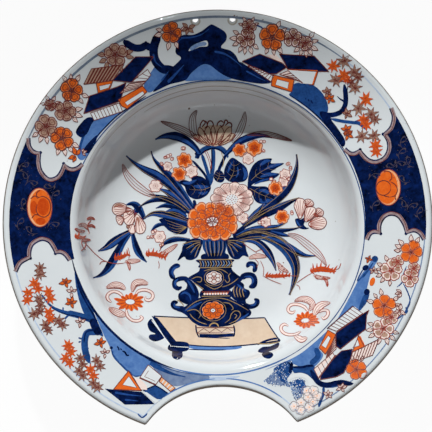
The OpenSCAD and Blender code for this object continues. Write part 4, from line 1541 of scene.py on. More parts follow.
def ground(upper, lower):
    """A sheet of cobalt whose upper and lower ends, given from the rim to the well, are cut in lobes."""
    upper_path = smooth_path(upper)
    lower_path = smooth_path(lower)
    inner = arc_between(GROUND_INNER_R, upper_path[-1], lower_path[-1])
    outer = arc_between(GROUND_OUTER_R, lower_path[0], upper_path[0])
    fill("cobalt", upper_path + inner + lower_path[::-1] + outer, straight=True)
    for end, drop in ((upper, -0.8), (lower, 0.8)):
        stroke("worn", end, BAND, "even")
        stroke("brown", [(x, y + drop) for x, y in end], 0.4, "even")


LEFT_UPPER = [
    (-118.6, 55), (-118.2, 50), (-115.4, 46.2), (-112, 45.6), (-112, 45.6), (-112.6, 40), (-111.4, 34.4),
    (-108, 30), (-104.6, 28.8), (-100.4, 30.4), (-97.6, 34.2), (-96, 38.4), (-96, 38.4), (-94.2, 36.2),
    (-91, 35.4), (-87.4, 36.6), (-84.6, 39),
]
LEFT_LOWER = [
    (-127.6, -29), (-124.6, -23.4), (-119, -20), (-119, -20), (-118.8, -15), (-116.6, -10.8), (-111.4, -8),
    (-106.4, -9.2), (-103.4, -13), (-101.8, -16.6), (-101.8, -16.6), (-99, -16.2), (-96, -18),
    (-93.4, -21.6),
]
RIGHT_UPPER = [
    (111, 70), (112.6, 64), (110.8, 57.4), (106.6, 53.6), (106.6, 53.6), (109, 49.6), (109.2, 44),
    (106.4, 38.8), (101, 36.4), (96, 37.6), (92.4, 41), (90.6, 43.8), (90.6, 43.8), (87.4, 42.2),
    (84, 42.8), (81, 45.4),
]
RIGHT_LOWER = [
    (129.6, -13.6), (127.4, -9.6), (123.4, -7.2), (119, -8.4), (119, -8.4), (117.6, -3), (114, 2.4),
    (108.8, 4), (104.2, 1.8), (101.6, -3), (101.6, -8), (101.6, -8), (98.6, -7), (95.6, -8.4), (93.6, -12),
]


def shifted(points, distance):
    """A line moved sideways to its left by a distance, point by point."""
    moved = []
    for i, point in enumerate(points):
        before = next((p for p in points[:i][::-1] if p != point), point)
        after = next((p for p in points[i:] if p != point), point)
        along = (Vector(after) - Vector(before)).normalized()
        moved.append((point[0] - along.y * distance, point[1] + along.x * distance))
    return moved


GROUNDS = [("left", 1, LEFT_UPPER, LEFT_LOWER), ("right", -1, RIGHT_UPPER, RIGHT_LOWER)]
for name, way, upper, lower in GROUNDS:
    start_motif(f"{name}_ground")
    ground(upper, lower)
    for end, shift in ((upper, way * EDGE_SHIFT), (lower, -way * EDGE_SHIFT)):
        dark_line = shifted(end, shift)
        stroke("cobalt", dark_line, EDGE_LINE, "even")
        for cusp in [p for p, q in zip(dark_line, dark_line[1:]) if p == q]:
            dot("cobalt", cusp, 1.9)
print("sheets of cobalt:", strokes_made, "strokes so far")

# %% Crests and rubbed scrolls on the grounds


def crest(at, rx, ry, pale_side, hearts, lines):
    """An orange oval with a paler rim, and with red hearts and dark arcs that are given from its middle."""
    fill("peach", scallop(at, rx, 8, 0.0, 0, ry / rx))
    fill("red", scallop((at[0] - pale_side * 0.7, at[1]), rx - 1.0, 8, 0.0, 0, (ry - 0.9) / (rx - 1.0)))
    for x, y, r, squash in hearts:
        fill("scarlet", placed(scallop((x, y), r, 8, 0.0, 0, squash), at))
    stroke("redline", scallop(at, rx, 8, 0.0, 0, ry / rx), 0.5, "even", True)
    for line in lines:
        stroke("brown", placed(line, at), 0.6)


start_motif("left_ground")
crest(
    (-112, 11.5), 7.6, 12.2, -1, [(2.2, 0.6, 3.6, 1.5), (-3.6, 0, 2.2, 1.9), (0.6, -8.6, 3.0, 0.7)],
    [
        [(-1.4, 5.6), (2, 7), (5.6, 5), (6.8, 1), (6, -3.6), (3.2, -6), (-0.4, -5), (-2.2, -1.6),
         (-1.4, 2)],
        [(-5.6, 5.4), (-3, 7.2), (0, 6.2)], [(-0.4, -5), (-3, -4.6), (-5, -7)],
        [(-1.4, 5.6), (-1.8, 9), (0.4, 11)],
    ],
)
start_motif("right_ground")
crest(
    (108, 20.3), 7.5, 11.3, 1, [],
    [
        arc((-3, -0.2), 4.6, 0, 360), [(1.2, 3.6), (4.4, 1.4), (5.6, -2), (4, -5.4), (0.6, -6.2)],
        [(-4, 10.4), (1, 9.8), (2.4, 6), (0.4, 3.6)], [(0.6, -6.2), (-3, -5.2)], [(4, -5.4), (4.4, -8.4)],
    ],
)
SCROLL_STEM = [(-5, -0.8), (-3, 0.9), (-0.4, 1.4), (1.8, 0.6), (2.4, -1), (1, -1.9), (-0.2, -1)]
FLECKS = 10
SCROLLS = {
    "left": [(-121, 38, 40), (-121, 32, -30), (-116, 27, 10), (-124, 2, 70), (-103, 1, 20), (-118, -3, 150),
             (-102, 20, 60), (-122, 14, 100), (-106, 25, 200)],
    "right": [(117, 42, 60), (116, 35, 10), (121, 36, 120), (110, 34, 200), (117, 10, 320), (123, 8, 30),
              (127, 4, 80), (117, 25, 150), (100, 28, 20), (117.6, 49, 80), (100, 10, 60)],
}
random.seed(31)
for side, places in SCROLLS.items():
    start_motif(f"{side}_ground")
    for x, y, turn in places:
        stroke("rubbed", placed(SCROLL_STEM, (x, y), turn), 0.35)
        for at, way, length in ((-3.4, 62, 2.2), (-1.4, -60, 2.6), (2.4, -80, 2.0)):
            leaf = placed([(0, 0), (0.55, 0.12), (1, 0)], (at, 0.6), way, length)
            stroke("rubbed", placed(leaf, (x, y), turn), 0.9, "leaf")
        for i in range(FLECKS):
            fleck = (x + random.gauss(0, 2.4), y + random.gauss(0, 3.4))
            dot("rubbed", fleck, random.uniform(0.25, 0.8), 0.6, random.uniform(0, 180))
print("grounds:", strokes_made, "strokes so far")

# %% [markdown]
# Three touches make up most of the panels. A prunus blossom has five outlined petals with a pale edge and
# veins. A maple leaf is a star of slender lobes with dark tips. A leaflet is a small lens with an
# outline. Houses are drawn with straight edges: dark roofs, orange frames round white panels, and walls
# hatched with fine lines.

# %% Blossoms, maple leaves and walls for the panels
LENS = [(0, 0), (0, 0), (0.4, 0.27), (1, 0), (1, 0), (0.4, -0.27)]
LOBES = 7
PALE_EDGE = {"red": "peach", "tan": "pink", "pink": "pink"}
CORE_SHARE = {"red": 0.84, "tan": 0.84, "pink": 0.6}


def prunus(at, r, turn, inside, dark):
    """A large prunus blossom: five petals with a pale edge and veins, drawn in dark or in red lines."""
    line = "brown" if dark else "redline"
    for i in range(5):
        way = turn + 72 * i + random.uniform(-7, 7)
        size = r * random.uniform(0.92, 1.08)
        petal = placed(PETAL, at, way, size)
        core = [(0.6 + (x - 0.6) * CORE_SHARE[inside], y * CORE_SHARE[inside]) for x, y in PETAL]
        fill(PALE_EDGE[inside], petal)
        fill("tan" if inside == "pink" else inside, placed(core, at, way, size))
        stroke(line, petal, 0.6 if dark else 0.44, "even", True)
        if dark:
            ring = [(0.6 + (x - 0.6) * 0.55, y * 0.55) for x, y in PETAL]
            stroke(line, placed(ring, at, way, size), 0.36, "even", True)
        for lean, reach in ((-18, 0.5), (0, 0.66), (18, 0.5)):
            stroke(line, placed([(0.1, 0), (reach, 0)], at, way + lean, size), 0.36, "tail")
    dot("brown", at, max(r * 0.2, 0.9))


def leaflet(at, way, length, inside):
    """A small outlined leaf or bud that points a way, in degrees."""
    outline = placed(LENS, at, way, length)
    fill(inside, outline)
    stroke("brown", outline, 0.42, "even", True)
    stroke("brown", placed([(0.1, 0), (0.75, 0)], at, way, length), 0.25, "tail")


def leaflets(at, r, ways, length, inside="pink"):
    """Leaflets that stick out round a blossom."""
    for way in ways:
        leaflet(placed([(r * 0.92, 0)], at, way)[0], way, length * random.uniform(0.85, 1.15), inside)


def maple(at, r, turn, inside):
    """A maple leaf: slender pointed lobes round a stalk, each with an outline, a vein and a dark tip."""
    line, vein = ("brown", "brown") if inside == "tan" else ("scarlet", "redline")
    dot(inside, at, r * 0.5)
    for i in range(LOBES):
        way = turn + 360 * i / LOBES + random.uniform(-8, 8)
        reach = r * random.uniform(0.92, 1.2)
        lobe = placed(LENS, at, way, reach, 0.64)
        fill(inside, lobe)
        stroke(line, lobe[1:4], 0.24)
        stroke(line, lobe[3:] + lobe[:1], 0.24)
        stroke(vein, placed([(0.1, 0), (0.8, 0)], at, way, reach), 0.22)
        dot(vein, lobe[3], random.uniform(0.4, 0.65))


def maples(inside, places):
    """Maple leaves of one colour, each given by its place and its size."""
    for i, (x, y, r) in enumerate(places):
        maple((x, y), r, 29 * i, inside)


def edge(pigment_name, points, width):
    """Straight lines from point to point."""
    for start, end in zip(points, points[1:]):
        stroke(pigment_name, [start, end], width, "even")


def hatched(corners, count, width, inside="reserve"):
    """A pale four-sided wall with lines from its first side to its third, and an outline."""
    a, b, c, d = plan(corners)
    fill(inside, corners, straight=True)
    for i in range(1, count):
        stroke("brown", [a.lerp(b, i / count), d.lerp(c, i / count)], width, "even")
    edge("brown", [*corners, corners[0]], 0.45)


def roof(corners):
    """A dark roof with a thin brown outline."""
    fill("cobalt", corners, straight=True)
    edge("brown", [*corners, corners[0]], 0.45)


def framed(outer, inner):
    """An orange frame round a white panel, outlined in brown."""
    fill("red", outer, straight=True)
    fill("reserve", inner, straight=True)
    edge("brown", [*outer, outer[0]], 0.5)
    edge("brown", [*inner, inner[0]], 0.25)


print("maple leaf of", LOBES, "lobes")

# %% [markdown]
# The top panel is the widest. A garden rock with a hole through it stands in its middle, pavilions lie on
# both sides of it, prunus branches hang over the left ones, and a maple grows at the right.

# %% The rock and the trunk at the top
start_motif("top_rock")
GARDEN_ROCK = [
    (-24.6, 111), (-23, 116.4), (-19.6, 119.4), (-13.6, 119.4), (-8, 121.6), (-3, 125), (-0.4, 125.2),
    (7, 120.6), (7.6, 116), (4.2, 111.6), (10, 109.4), (13.4, 106.4), (15.4, 102.6), (18, 101.4),
    (28, 94.4), (36, 89.8), (31, 88.4), (20, 90), (10, 92.4), (3, 96), (-3, 100.6), (-8, 101), (-15, 96),
    (-19, 91.6), (-29, 89), (-39.4, 84.6), (-33, 92), (-27, 99.4), (-21.4, 105), (-24.4, 108),
]
fill("cobalt", GARDEN_ROCK)
fill("wash", [(-19, 91.4), (-14.8, 96.2), (-8, 101.2), (-3, 100.8), (3, 96.2), (10.4, 92), (0, 91.6),
              (-10, 91.4)])
fill("white", [(-16.4, 109.6), (-14, 112.6), (-8, 115.2), (-4.6, 115.6), (-4.4, 112.4), (-9, 112),
               (-13, 110.6)])
stroke("reserve_wash", [(-15.4, 110.4), (-10.4, 113.2), (-5, 114)], 2.4)
stroke("sheen", [(-21, 117.6), (-14, 118), (-8, 119.6), (-3, 123)], 1.3, "tail")
stroke("sheen", [(-23.6, 112), (-22.6, 115.6), (-19.6, 118)], 1.0, "tail")
stroke("sheen", [(0, 109), (6, 107.6), (11, 104.6), (17, 99.6)], 1.5, "tail")
stroke("sheen", [(-30, 90.4), (-25, 95.4), (-19.6, 101)], 2.2, "tail")
stroke("sheen", [(-34, 91.4), (-29, 97.6)], 1.4, "tail")
stroke("sheen", [(20, 96.6), (27, 92.6), (32, 90)], 1.2, "tail")
PRUNUS_TRUNK = [
    (-34.4, 121.4), (-36.6, 117), (-38.4, 111.4), (-38.2, 105.8), (-36, 101.4), (-32, 98.4), (-24, 98.6),
]
stroke("cobalt", PRUNUS_TRUNK, 5.4)
stroke("cobalt", [(-57.4, 116), (-54, 113.4), (-50, 111.6), (-46, 111.8), (-43, 113), (-38.4, 110)], 4.4)
stroke("cobalt", [(-45, 111.8), (-43.6, 114.2), (-42.4, 115)], 2.4)
stroke("sheen", [(-38.8, 108), (-37.4, 103), (-33.4, 99.6)], 1.4, "tail")
fill("wash", [(-45, 89.6), (-40, 97.4), (-36.4, 101), (-30, 97.4), (-33, 92), (-40, 84.8), (-43.6, 85)])
print("rock and trunk:", strokes_made, "strokes so far")

# %% Blossoms at the top
start_motif("top_blossoms")
random.seed(23)
TOP_BLOSSOMS = [
    ("tan", (-62.6, 107.4), 7.4, 20), ("tan", (-95, 72.4), 6.8, 0), ("tan", (-107, 62.6), 7.2, 30),
    ("red", (-90.6, 85), 7.4, 10), ("red", (-97.2, 55.4), 7.6, 40), ("red", (-27, 121), 6.6, 0),
    ("red", (36.6, 116.6), 7.8, 15), ("pink", (22, 123.4), 4.4, 0), ("pink", (20.4, 116.6), 6.0, 30),
    ("pink", (49.4, 116.2), 5.6, 10), ("pink", (57.4, 112.4), 4.6, 50), ("pink", (-104.2, 75.6), 3.6, 0),
]
for inside, at, r, turn in TOP_BLOSSOMS:
    prunus(at, r, turn, inside, True)
leaflets((-62.6, 107.4), 7.0, (180, 205, 228, -8, 12, 290), 5.0, "tan")
leaflets((-90.6, 85), 7.0, (62, 92, 120, -20, -48), 4.6)
leaflets((-95, 72.4), 6.6, (-18, -42, 8, 84), 4.8)
leaflets((-104.2, 75.6), 3.4, (60, 110, 170, 20), 3.6)
leaflets((-107, 62.6), 7.0, (218, 246, 272), 4.6)
leaflets((-97.2, 55.4), 7.2, (252, 280, 306, 332), 4.8)
leaflets((-27, 121), 6.4, (168, 190, 256, 292, 14), 4.8)
leaflets((-16.4, 123.6), 0.4, (20, 140, 200, 250, 320), 4.2, "tan")
leaflets((20.4, 116.6), 6.0, (150, 178, 205, 238, 262, 290, 318), 4.6)
leaflets((22, 123.4), 4.2, (120, 160, 60, 20), 3.4)
leaflets((36.6, 116.6), 7.4, (246, 276, 302, 62, 30), 4.6)
leaflets((57.4, 112.4), 4.6, (215, 245, 275, 300, 330, 10, 50), 4.6)
leaflets((-88.6, 44.4), 0.6, (60, 110, 200, 240), 4.8, "red")
leaflets((-85, 46.4), 0.3, (20, 70, 320), 2.8)
stroke("blue", [(-104.6, 80), (-103, 77), (-103.4, 73)], 1.0)
stroke("blue", [(26, 124.6), (29.4, 123.4), (31.6, 121.4)], 0.9)
print("blossoms at the top:", strokes_made, "strokes so far")

# %% Pavilions at the top left
start_motif("top_left_pavilions")
hatched([(-78, 98.6), (-57.6, 101.4), (-65, 91.4), (-83, 89)], 9, 1.0, "tan")
roof([(-65, 91.6), (-50, 106.2), (-38.6, 106.2), (-53, 90.4)])
roof([(-83.4, 70.8), (-79.6, 81.8), (-62, 87.6), (-56.4, 90.2), (-60.4, 78.8), (-76, 73.4)])
framed([(-75.2, 89.8), (-64.6, 91.6), (-66.8, 86.4), (-74.2, 83.6)],
       [(-73.4, 88), (-66, 89.6), (-67.4, 87), (-72.8, 85.2)])
framed([(-61.6, 79.6), (-46, 88.2), (-43.2, 84.6), (-56, 74), (-59.4, 75.6)],
       [(-57.4, 78), (-46, 85), (-44.8, 83), (-56, 76)])
hatched([(-79.2, 71.2), (-61, 77.6), (-59, 72.4), (-77, 66.6)], 9, 0.4)
hatched([(-60.4, 83.6), (-54.6, 89.4), (-44, 91), (-47.4, 87.6)], 4, 0.4, "pink")
hatched([(-53, 90.6), (-42.6, 98.4), (-40.6, 95), (-43.6, 91.4)], 3, 0.4)
fill("wash", [(-88, 44), (-86.4, 52), (-83, 61), (-78, 68), (-70, 70), (-59, 73), (-64, 68), (-72, 60),
              (-79, 50), (-84, 42)])
stroke("blue", [(-87, 45), (-85.6, 52), (-82.6, 60)], 1.6)
fill("cobalt", [(-88.6, 59), (-86, 64), (-81, 68.4), (-76.8, 67.6), (-79, 63.6), (-81.6, 58.4),
                (-85.4, 56)])
fill("cobalt", [(-84, 48), (-80.4, 53), (-75.4, 57.4), (-76.6, 52.4), (-79.6, 47.4), (-82, 46)])
stroke("cobalt", [(-81, 50), (-72, 60.4), (-62, 70), (-52, 76.6), (-44, 82)], 0.8)
print("left half of the top panel:", strokes_made, "strokes so far")

# %% Pavilions and the maple at the top right
start_motif("top_right_pavilions")
roof([(17.4, 102.6), (28.6, 106.8), (43, 100.8), (45.4, 98), (39, 94.4), (32, 94.4), (24, 99)])
roof([(41, 106.4), (63, 104.4), (72, 94.4), (62, 95), (46, 97), (44.4, 100.8)])
fill("pink", [(32.6, 106.2), (38.6, 106.2), (44.2, 100.8), (43, 100.4)], straight=True)
hatched([(20.8, 99.8), (35.4, 89.6), (37.4, 93), (25.4, 98.8)], 8, 0.45, "reserve")
framed([(36.6, 93.8), (50.2, 90.2), (48.4, 82.8), (35.6, 87)],
       [(39.4, 91), (46.8, 88.8), (46, 84.8), (38.2, 87.6)])
fill("reserve", [(46.4, 96.4), (64, 94.6), (61.4, 87), (54, 88), (50, 90.4)], straight=True)
fill("red", [(62.2, 95), (65.4, 95), (62.4, 86.6), (59.6, 87)], straight=True)
edge("red", [(46.4, 96.6), (65, 95)], 1.0)
edge("brown", [(65.4, 95), (62.4, 86.6), (59.6, 87)], 0.5)
hatched([(46.4, 96), (55.6, 88), (50.4, 90.4), (41, 94)], 5, 0.6, "pink")
stroke("cobalt", [(47.4, 96.4), (52, 92), (57.4, 87.4)], 1.0, "even")
RIGHT_HILL = [
    (50, 87.6), (55, 88.2), (62, 86.4), (67.6, 81.4), (70.8, 75), (71, 69.6), (68, 64), (62, 69.4),
    (54, 76), (47, 80.6), (48.2, 83),
]
fill("blue", RIGHT_HILL)
stroke("wash", [(51, 85.4), (57, 85), (63, 80.6), (67, 74)], 1.6, "leaf")
strokes("cobalt", [[(58.6, 78), (59.4, 76.4)], [(60.4, 77.2), (61.6, 75)], [(57, 78.6), (57.6, 77.6)]], 0.9)
fill("cobalt", [(66, 69.6), (72, 68.4), (73.4, 64), (77, 59), (81.6, 51), (80, 47.4), (75, 54.4), (69, 62)])
stroke("cobalt", [(66, 68.4), (73, 67.4), (79, 69), (82, 73.4), (82.4, 79), (81.6, 86)], 3.0)
stroke("cobalt", [(82.2, 78), (83.4, 83), (84.2, 86.4)], 1.2, "tail")
stroke("cobalt", [(81.6, 75.6), (79, 77), (77, 79)], 1.4, "tail")
stroke("blue", [(73, 65), (80, 63.2), (87, 62), (91, 61), (95.4, 57)], 2.0)
stroke("blue", [(87, 62), (91, 63.4), (93.4, 63.6)], 1.2)
stroke("cobalt", [(47, 81), (58, 73), (68, 63.4), (76, 53), (81, 45)], 0.8)

start_motif("top_right_maple")
TOP_RED_LEAVES = [
    (74.6, 97.8, 4.2), (81.4, 91.4, 4.4), (95, 75.8, 4.4), (93.4, 63.8, 3.8), (95, 60.4, 3.8),
    (100.4, 47, 3.9), (101, 43, 3.5), (83.8, 88.4, 2.6),
]
maples("red", TOP_RED_LEAVES)
TOP_TAN_LEAVES = [
    (81.6, 100.4, 4.4), (88, 93.2, 4.0), (90.4, 90, 3.2), (76.4, 88.8, 4.2), (88.4, 83.8, 4.2),
    (90.4, 71, 4.4), (98.2, 66.8, 4.4), (100.6, 63.2, 3.2), (92, 53.2, 4.4), (99.6, 53.2, 4.2),
    (86, 87, 2.6),
]
maples("tan", TOP_TAN_LEAVES)
TUFTS = {"tan": [(83, 67.6), (71, 81.6)], "red": [(72.4, 77.4), (82.6, 57.6), (83.4, 54.6)]}
for inside, places in TUFTS.items():
    for at in places:
        leaflets(at, 0.4, (40, 100, 160, 250, 330), 3.2, inside)
print("top panel:", strokes_made, "strokes so far")

# %% [markdown]
# At the lower left a maple grows from a dark trunk along the well's edge. Its orange and tan leaves hang
# over the white, with a pale blue hill and two pavilions below, down to the horn of the notch.

# %% The lower left maple
start_motif("lower_left_tree")
MAPLE_TRUNK = [
    (-90.6, -29), (-90.2, -36), (-88.6, -45), (-86.2, -53), (-84, -57.6), (-80.4, -63), (-79.4, -66.4),
    (-73.4, -70.4), (-74.4, -66), (-77, -60), (-80, -52.4), (-84, -45), (-88, -35),
]
fill("blue", MAPLE_TRUNK)
stroke("cobalt", [(-90, -31), (-87.6, -40), (-84, -48), (-80, -55), (-76, -63)], 1.2)
stroke("cobalt", [(-80, -59), (-78, -65), (-75, -69)], 4.6)
stroke("blue", [(-77, -61), (-84, -58.4), (-90, -56.4), (-97, -55), (-103, -52.6), (-107, -49.4),
                (-111, -44)], 4.2, "tail")
stroke("blue", [(-77, -61), (-82, -58.8), (-88, -57), (-96, -55)], 3.8)
stroke("cobalt", [(-82, -60), (-90, -57.4), (-98, -55.6), (-105, -51.6)], 1.0, "tail")
stroke("blue", [(-97, -55), (-98, -53.4), (-98, -51.6)], 0.9)
stroke("blue", [(-94, -56), (-95.4, -57.4), (-97, -59)], 1.2)
stroke("blue", [(-74, -68), (-79, -67.4), (-83, -68), (-84.6, -72), (-84.6, -78), (-83.4, -83),
                (-81.8, -87)], 4.2)
stroke("blue", [(-82.6, -84), (-81.2, -88), (-81, -91)], 1.2, "tail")
strokes("blue", [[(-88.6, -71), (-87, -71.6), (-85.6, -71.2)], [(-88.6, -74), (-87, -73.4)],
                 [(-83.6, -77.4), (-82.2, -78)]], 1.0)
stroke("cobalt", [(-76, -67.2), (-80, -66.4), (-84, -68), (-85.2, -74)], 0.9)
SIDE_TAN_LEAVES = [
    (-112, -26.8, 3.5), (-112.2, -31, 3.6), (-113, -46.4, 3.4), (-112, -50.2, 3.3), (-116, -56, 3.7),
    (-112.4, -54.4, 3.0), (-109, -63, 3.6), (-107.4, -66.2, 3.2), (-101, -60.2, 3.5), (-98.4, -63, 3.3),
    (-87.6, -84, 3.4), (-86, -87.8, 3.2), (-88.4, -92, 3.5), (-86, -95.2, 3.3), (-77.4, -85.6, 3.5),
    (-75.6, -89.4, 3.3), (-79.4, -100, 3.4), (-76.8, -102.6, 3.2),
]
maples("tan", SIDE_TAN_LEAVES)
SIDE_RED_LEAVES = [
    (-115.6, -36.6, 3.7), (-113.4, -40, 3.4), (-119.4, -42.4, 3.6), (-120, -47, 3.4), (-107, -42, 3.6),
    (-106, -46, 3.5), (-107, -55, 3.6), (-106, -59, 3.4), (-95, -76, 3.6), (-93.4, -80, 3.6),
    (-96.6, -84, 3.4), (-94, -86.8, 3.2), (-81.4, -91.2, 3.6), (-79.6, -95.2, 3.4),
]
maples("red", SIDE_RED_LEAVES)
for at in ((-96.4, -36), (-93, -49), (-75, -74.6)):
    leaflets(at, 0.2, (20, 75, 130, 190, 290), 3.6, "red")
for at in ((-92.4, -42), (-87.4, -61.4), (-72, -81)):
    leaflets(at, 0.5, (30, 100, 160, 260), 3.0)
print("lower left maple:", strokes_made, "strokes so far")

# %% The hill and pavilions at the lower left
start_motif("lower_left_pavilions")
LEFT_HILL = [
    (-80, -51), (-76.4, -56), (-70, -64), (-60, -73.6), (-50, -80.8), (-42, -85.6), (-46, -91),
    (-50, -95.4), (-54, -96), (-58, -92.4), (-63.6, -87), (-67.4, -81), (-70, -75), (-73.4, -68),
]
fill("wash", LEFT_HILL)
stroke("pale", [(-75, -62), (-66, -72), (-57, -80)], 2.4)
stroke("blue", [(-68.4, -77), (-66.6, -83), (-62.4, -88), (-58, -92.4), (-53, -95.6), (-49.6, -95.2)], 1.2)
dot("cobalt", (-68.2, -77.6), 2.0)
stroke("cobalt", [(-64.6, -76.6), (-63.6, -78), (-63.4, -79.4)], 0.9)
stroke("cobalt", [(-61.4, -79.6), (-59.6, -80.6), (-58.6, -82.4), (-57, -82.4)], 1.1)
stroke("cobalt", [(-62.6, -78), (-61.6, -79.2)], 0.8)
FAR_HILL = [
    (-46, -85), (-40, -87.4), (-30, -91.6), (-18, -94.8), (-8, -96), (-8, -98.8), (-17, -100), (-24, -102),
    (-29.6, -102.2), (-35, -98.6), (-39, -95), (-43, -89.4),
]
fill("mist", FAR_HILL)
stroke("blue", [(-44, -87.4), (-37, -91.4), (-30, -94.6), (-22, -96.6)], 3.4, "tail")
stroke("pale", [(-16, -97.6), (-8, -98), (2, -98), (12, -97)], 2.6, "leaf")
stroke("blue", [(-46, -85.2), (-38, -89), (-28, -92.8), (-14, -95.4), (-6, -96.2)], 0.7, "tail")
framed([(-67, -104), (-57.6, -92.4), (-49.6, -105)], [(-61.4, -101.2), (-57.4, -95.8), (-52.4, -103.2)])
fill("pink", [(-54, -97), (-50.4, -97.6), (-46.4, -101.8), (-46, -104.6), (-50, -104.2)], straight=True)
edge("cobalt", [(-57.6, -92.6), (-49.4, -105)], 0.9)
hatched([(-50.6, -96.8), (-45.2, -88.8), (-36.8, -96), (-40.6, -101.2)], 1, 0.6, "reserve")
edge("peach", [(-48.8, -96.4), (-45.2, -91)], 1.0)
edge("peach", [(-48.8, -96.8), (-41.4, -100.2)], 1.0)
edge("brown", [(-47.6, -96.2), (-45, -92.4)], 0.3)
edge("brown", [(-47.4, -96.2), (-41, -99.2)], 0.3)
edge("brown", [(-50.6, -96.8), (-40.6, -101.4)], 0.9)
hatched([(-38.4, -99.4), (-37, -96.6), (-28.4, -103.8), (-31.4, -105.8)], 1, 0.4, "peach")
for i in range(1, 5):
    edge("reserve", [(-38.4 + 1.5 * i, -99.4 - 1.35 * i), (-37 + 1.8 * i, -96.6 - 1.5 * i)], 0.7)
stroke("sheen", [(-66, -106), (-58, -107.4), (-50, -108.4)], 1.6, "tail")
stroke("sheen", [(-60, -110.6), (-52, -111.4)], 1.4, "tail")
fill("cobalt", [(-72.4, -103.4), (-66, -104.2), (-49.4, -105.8), (-45, -110), (-41.4, -113.6),
                (-60, -113.6), (-66, -108.6)], straight=True)
fill("reserve", [(-48.4, -106.2), (-46.4, -106), (-38.6, -111.8), (-41, -113.2)], straight=True)
stroke("tan", [(-47.6, -106.6), (-44, -109.4), (-40.6, -112)], 0.8)
fill("blue", [(-48.6, -105), (-41, -101.8), (-38, -103.4), (-33, -107), (-37.4, -110.6), (-40, -110.4),
              (-45, -107.2)], straight=True)
edge("cobalt", [(-48.6, -105), (-41, -101.8), (-38, -103.4), (-33, -107)], 0.8)
print("lower left panel:", strokes_made, "strokes so far")

# %% [markdown]
# The lower right panel has prunus blossoms along the rim, a pavilion with blue roofs on a hill by the
# well, and a rock of dotted blue by the notch. The blossoms next to the horn are rubbed until they are
# only ghosts.

# %% The lower right prunus
start_motif("lower_right_blossoms")
random.seed(37)
LOWER_BLOSSOMS = [
    ("pink", (108.6, -32.4), 7.2, 10), ("pink", (120, -37.4), 5.6, 40), ("pink", (102.4, -69), 6.8, 0),
    ("pink", (112.4, -27), 4.0, 0), ("pink", (107.6, -62), 4.6, 20), ("pink", (122.6, -31.6), 3.8, 10),
    ("red", (121, -21.4), 7.2, 0), ("red", (103.4, -54.6), 7.4, 15), ("red", (85, -94.4), 6.8, 30),
]
for inside, at, r, turn in LOWER_BLOSSOMS:
    prunus(at, r, turn, inside, False)
leaflets((121, -21.4), 7.0, (132, 152, 170, 60, 88), 4.4)
leaflets((103.4, -54.6), 7.2, (128, 100, 30, 2, 160), 4.2)
leaflets((85, -94.4), 6.4, (62, 84, 106), 4.0)
leaflets((108.6, -32.4), 6.8, (150, 172, 200, 226, 262, 110), 4.0)
leaflets((102.4, -69), 6.6, (158, 184, 210, 250, 285, 312, 340), 4.2)
leaflets((114.6, -46.6), 0.3, (150, 190, 230), 4.2)
leaflets((113, -58), 0.2, (80, 120, 200, 260, 320), 4.0)
leaflets((97.6, -32), 0.2, (80, 160, 220, 330), 3.0)
leaflets((75.4, -105.8), 0.2, (20, 70, 140, 200, 300), 3.2)
leaflets((67, -110), 0.2, (30, 90, 150, 240, 320), 3.0)
stroke("blue", [(118, -30), (115.8, -35.6), (115, -40), (111.6, -43.2)], 0.7)
stroke("blue", [(115.4, -40.6), (118, -46), (119.4, -51.4), (118.4, -55.4), (115, -60.4), (109.6, -64.4)],
       0.8)
stroke("blue", [(116.6, -56), (117.6, -58.4), (116.4, -60)], 1.0)
print("lower right prunus:", strokes_made, "strokes so far")

# %% The hill and the trunk at the lower right
start_motif("lower_right_hill")
BENT_TRUNK = [
    (98.4, -22.6), (100.6, -24.6), (98.8, -28), (96, -33), (93.4, -42), (91.6, -50), (88.6, -57),
    (84, -54.6), (75.4, -63), (70, -69), (75, -60.6), (80, -52), (85, -43), (89, -35.6), (92, -31.4),
    (95.6, -26.6),
]
fill("wash", BENT_TRUNK)
fill("pale", [(96, -30), (93.6, -36), (90, -43), (85, -51), (87, -46), (91, -37), (94, -31)])
dot("blue", (98.6, -24.6), 4.0)
stroke("blue", [(97.4, -27), (94, -32), (90.6, -36.4)], 1.0)
dot("cobalt", (92.6, -30), 4.2, 0.8, 30)
stroke("blue", [(91.4, -30.4), (88.6, -35), (87.4, -38.2), (89.6, -36.4), (93.4, -31.6)], 0.8)
dot("cobalt", (93, -45.4), 4.2, 0.85, 70)
fill("blue", [(94.4, -46), (93.4, -50.6), (90.4, -55), (87.6, -57.2), (88.6, -52.6), (91, -47.4)])
leaflets((94.6, -24.4), 0.2, (60, 160, 250, 340), 2.4, "red")
dot("red", (96.6, -39), 5.6, 0.55, 70)
RIDGE = [
    (68, -69.4), (62, -79.4), (64.6, -85), (58, -92.4), (50, -91.6), (44, -89), (38, -89.2), (28, -93.2),
    (38, -89.4), (50, -83.6), (60, -76),
]
fill("wash", RIDGE)
stroke("blue", [(60, -80), (61.4, -85.4), (56.4, -90)], 3.4)
stroke("pale", [(58, -79.4), (50, -85.6), (42, -88.6)], 1.8)
print("lower right hill:", strokes_made, "strokes so far")

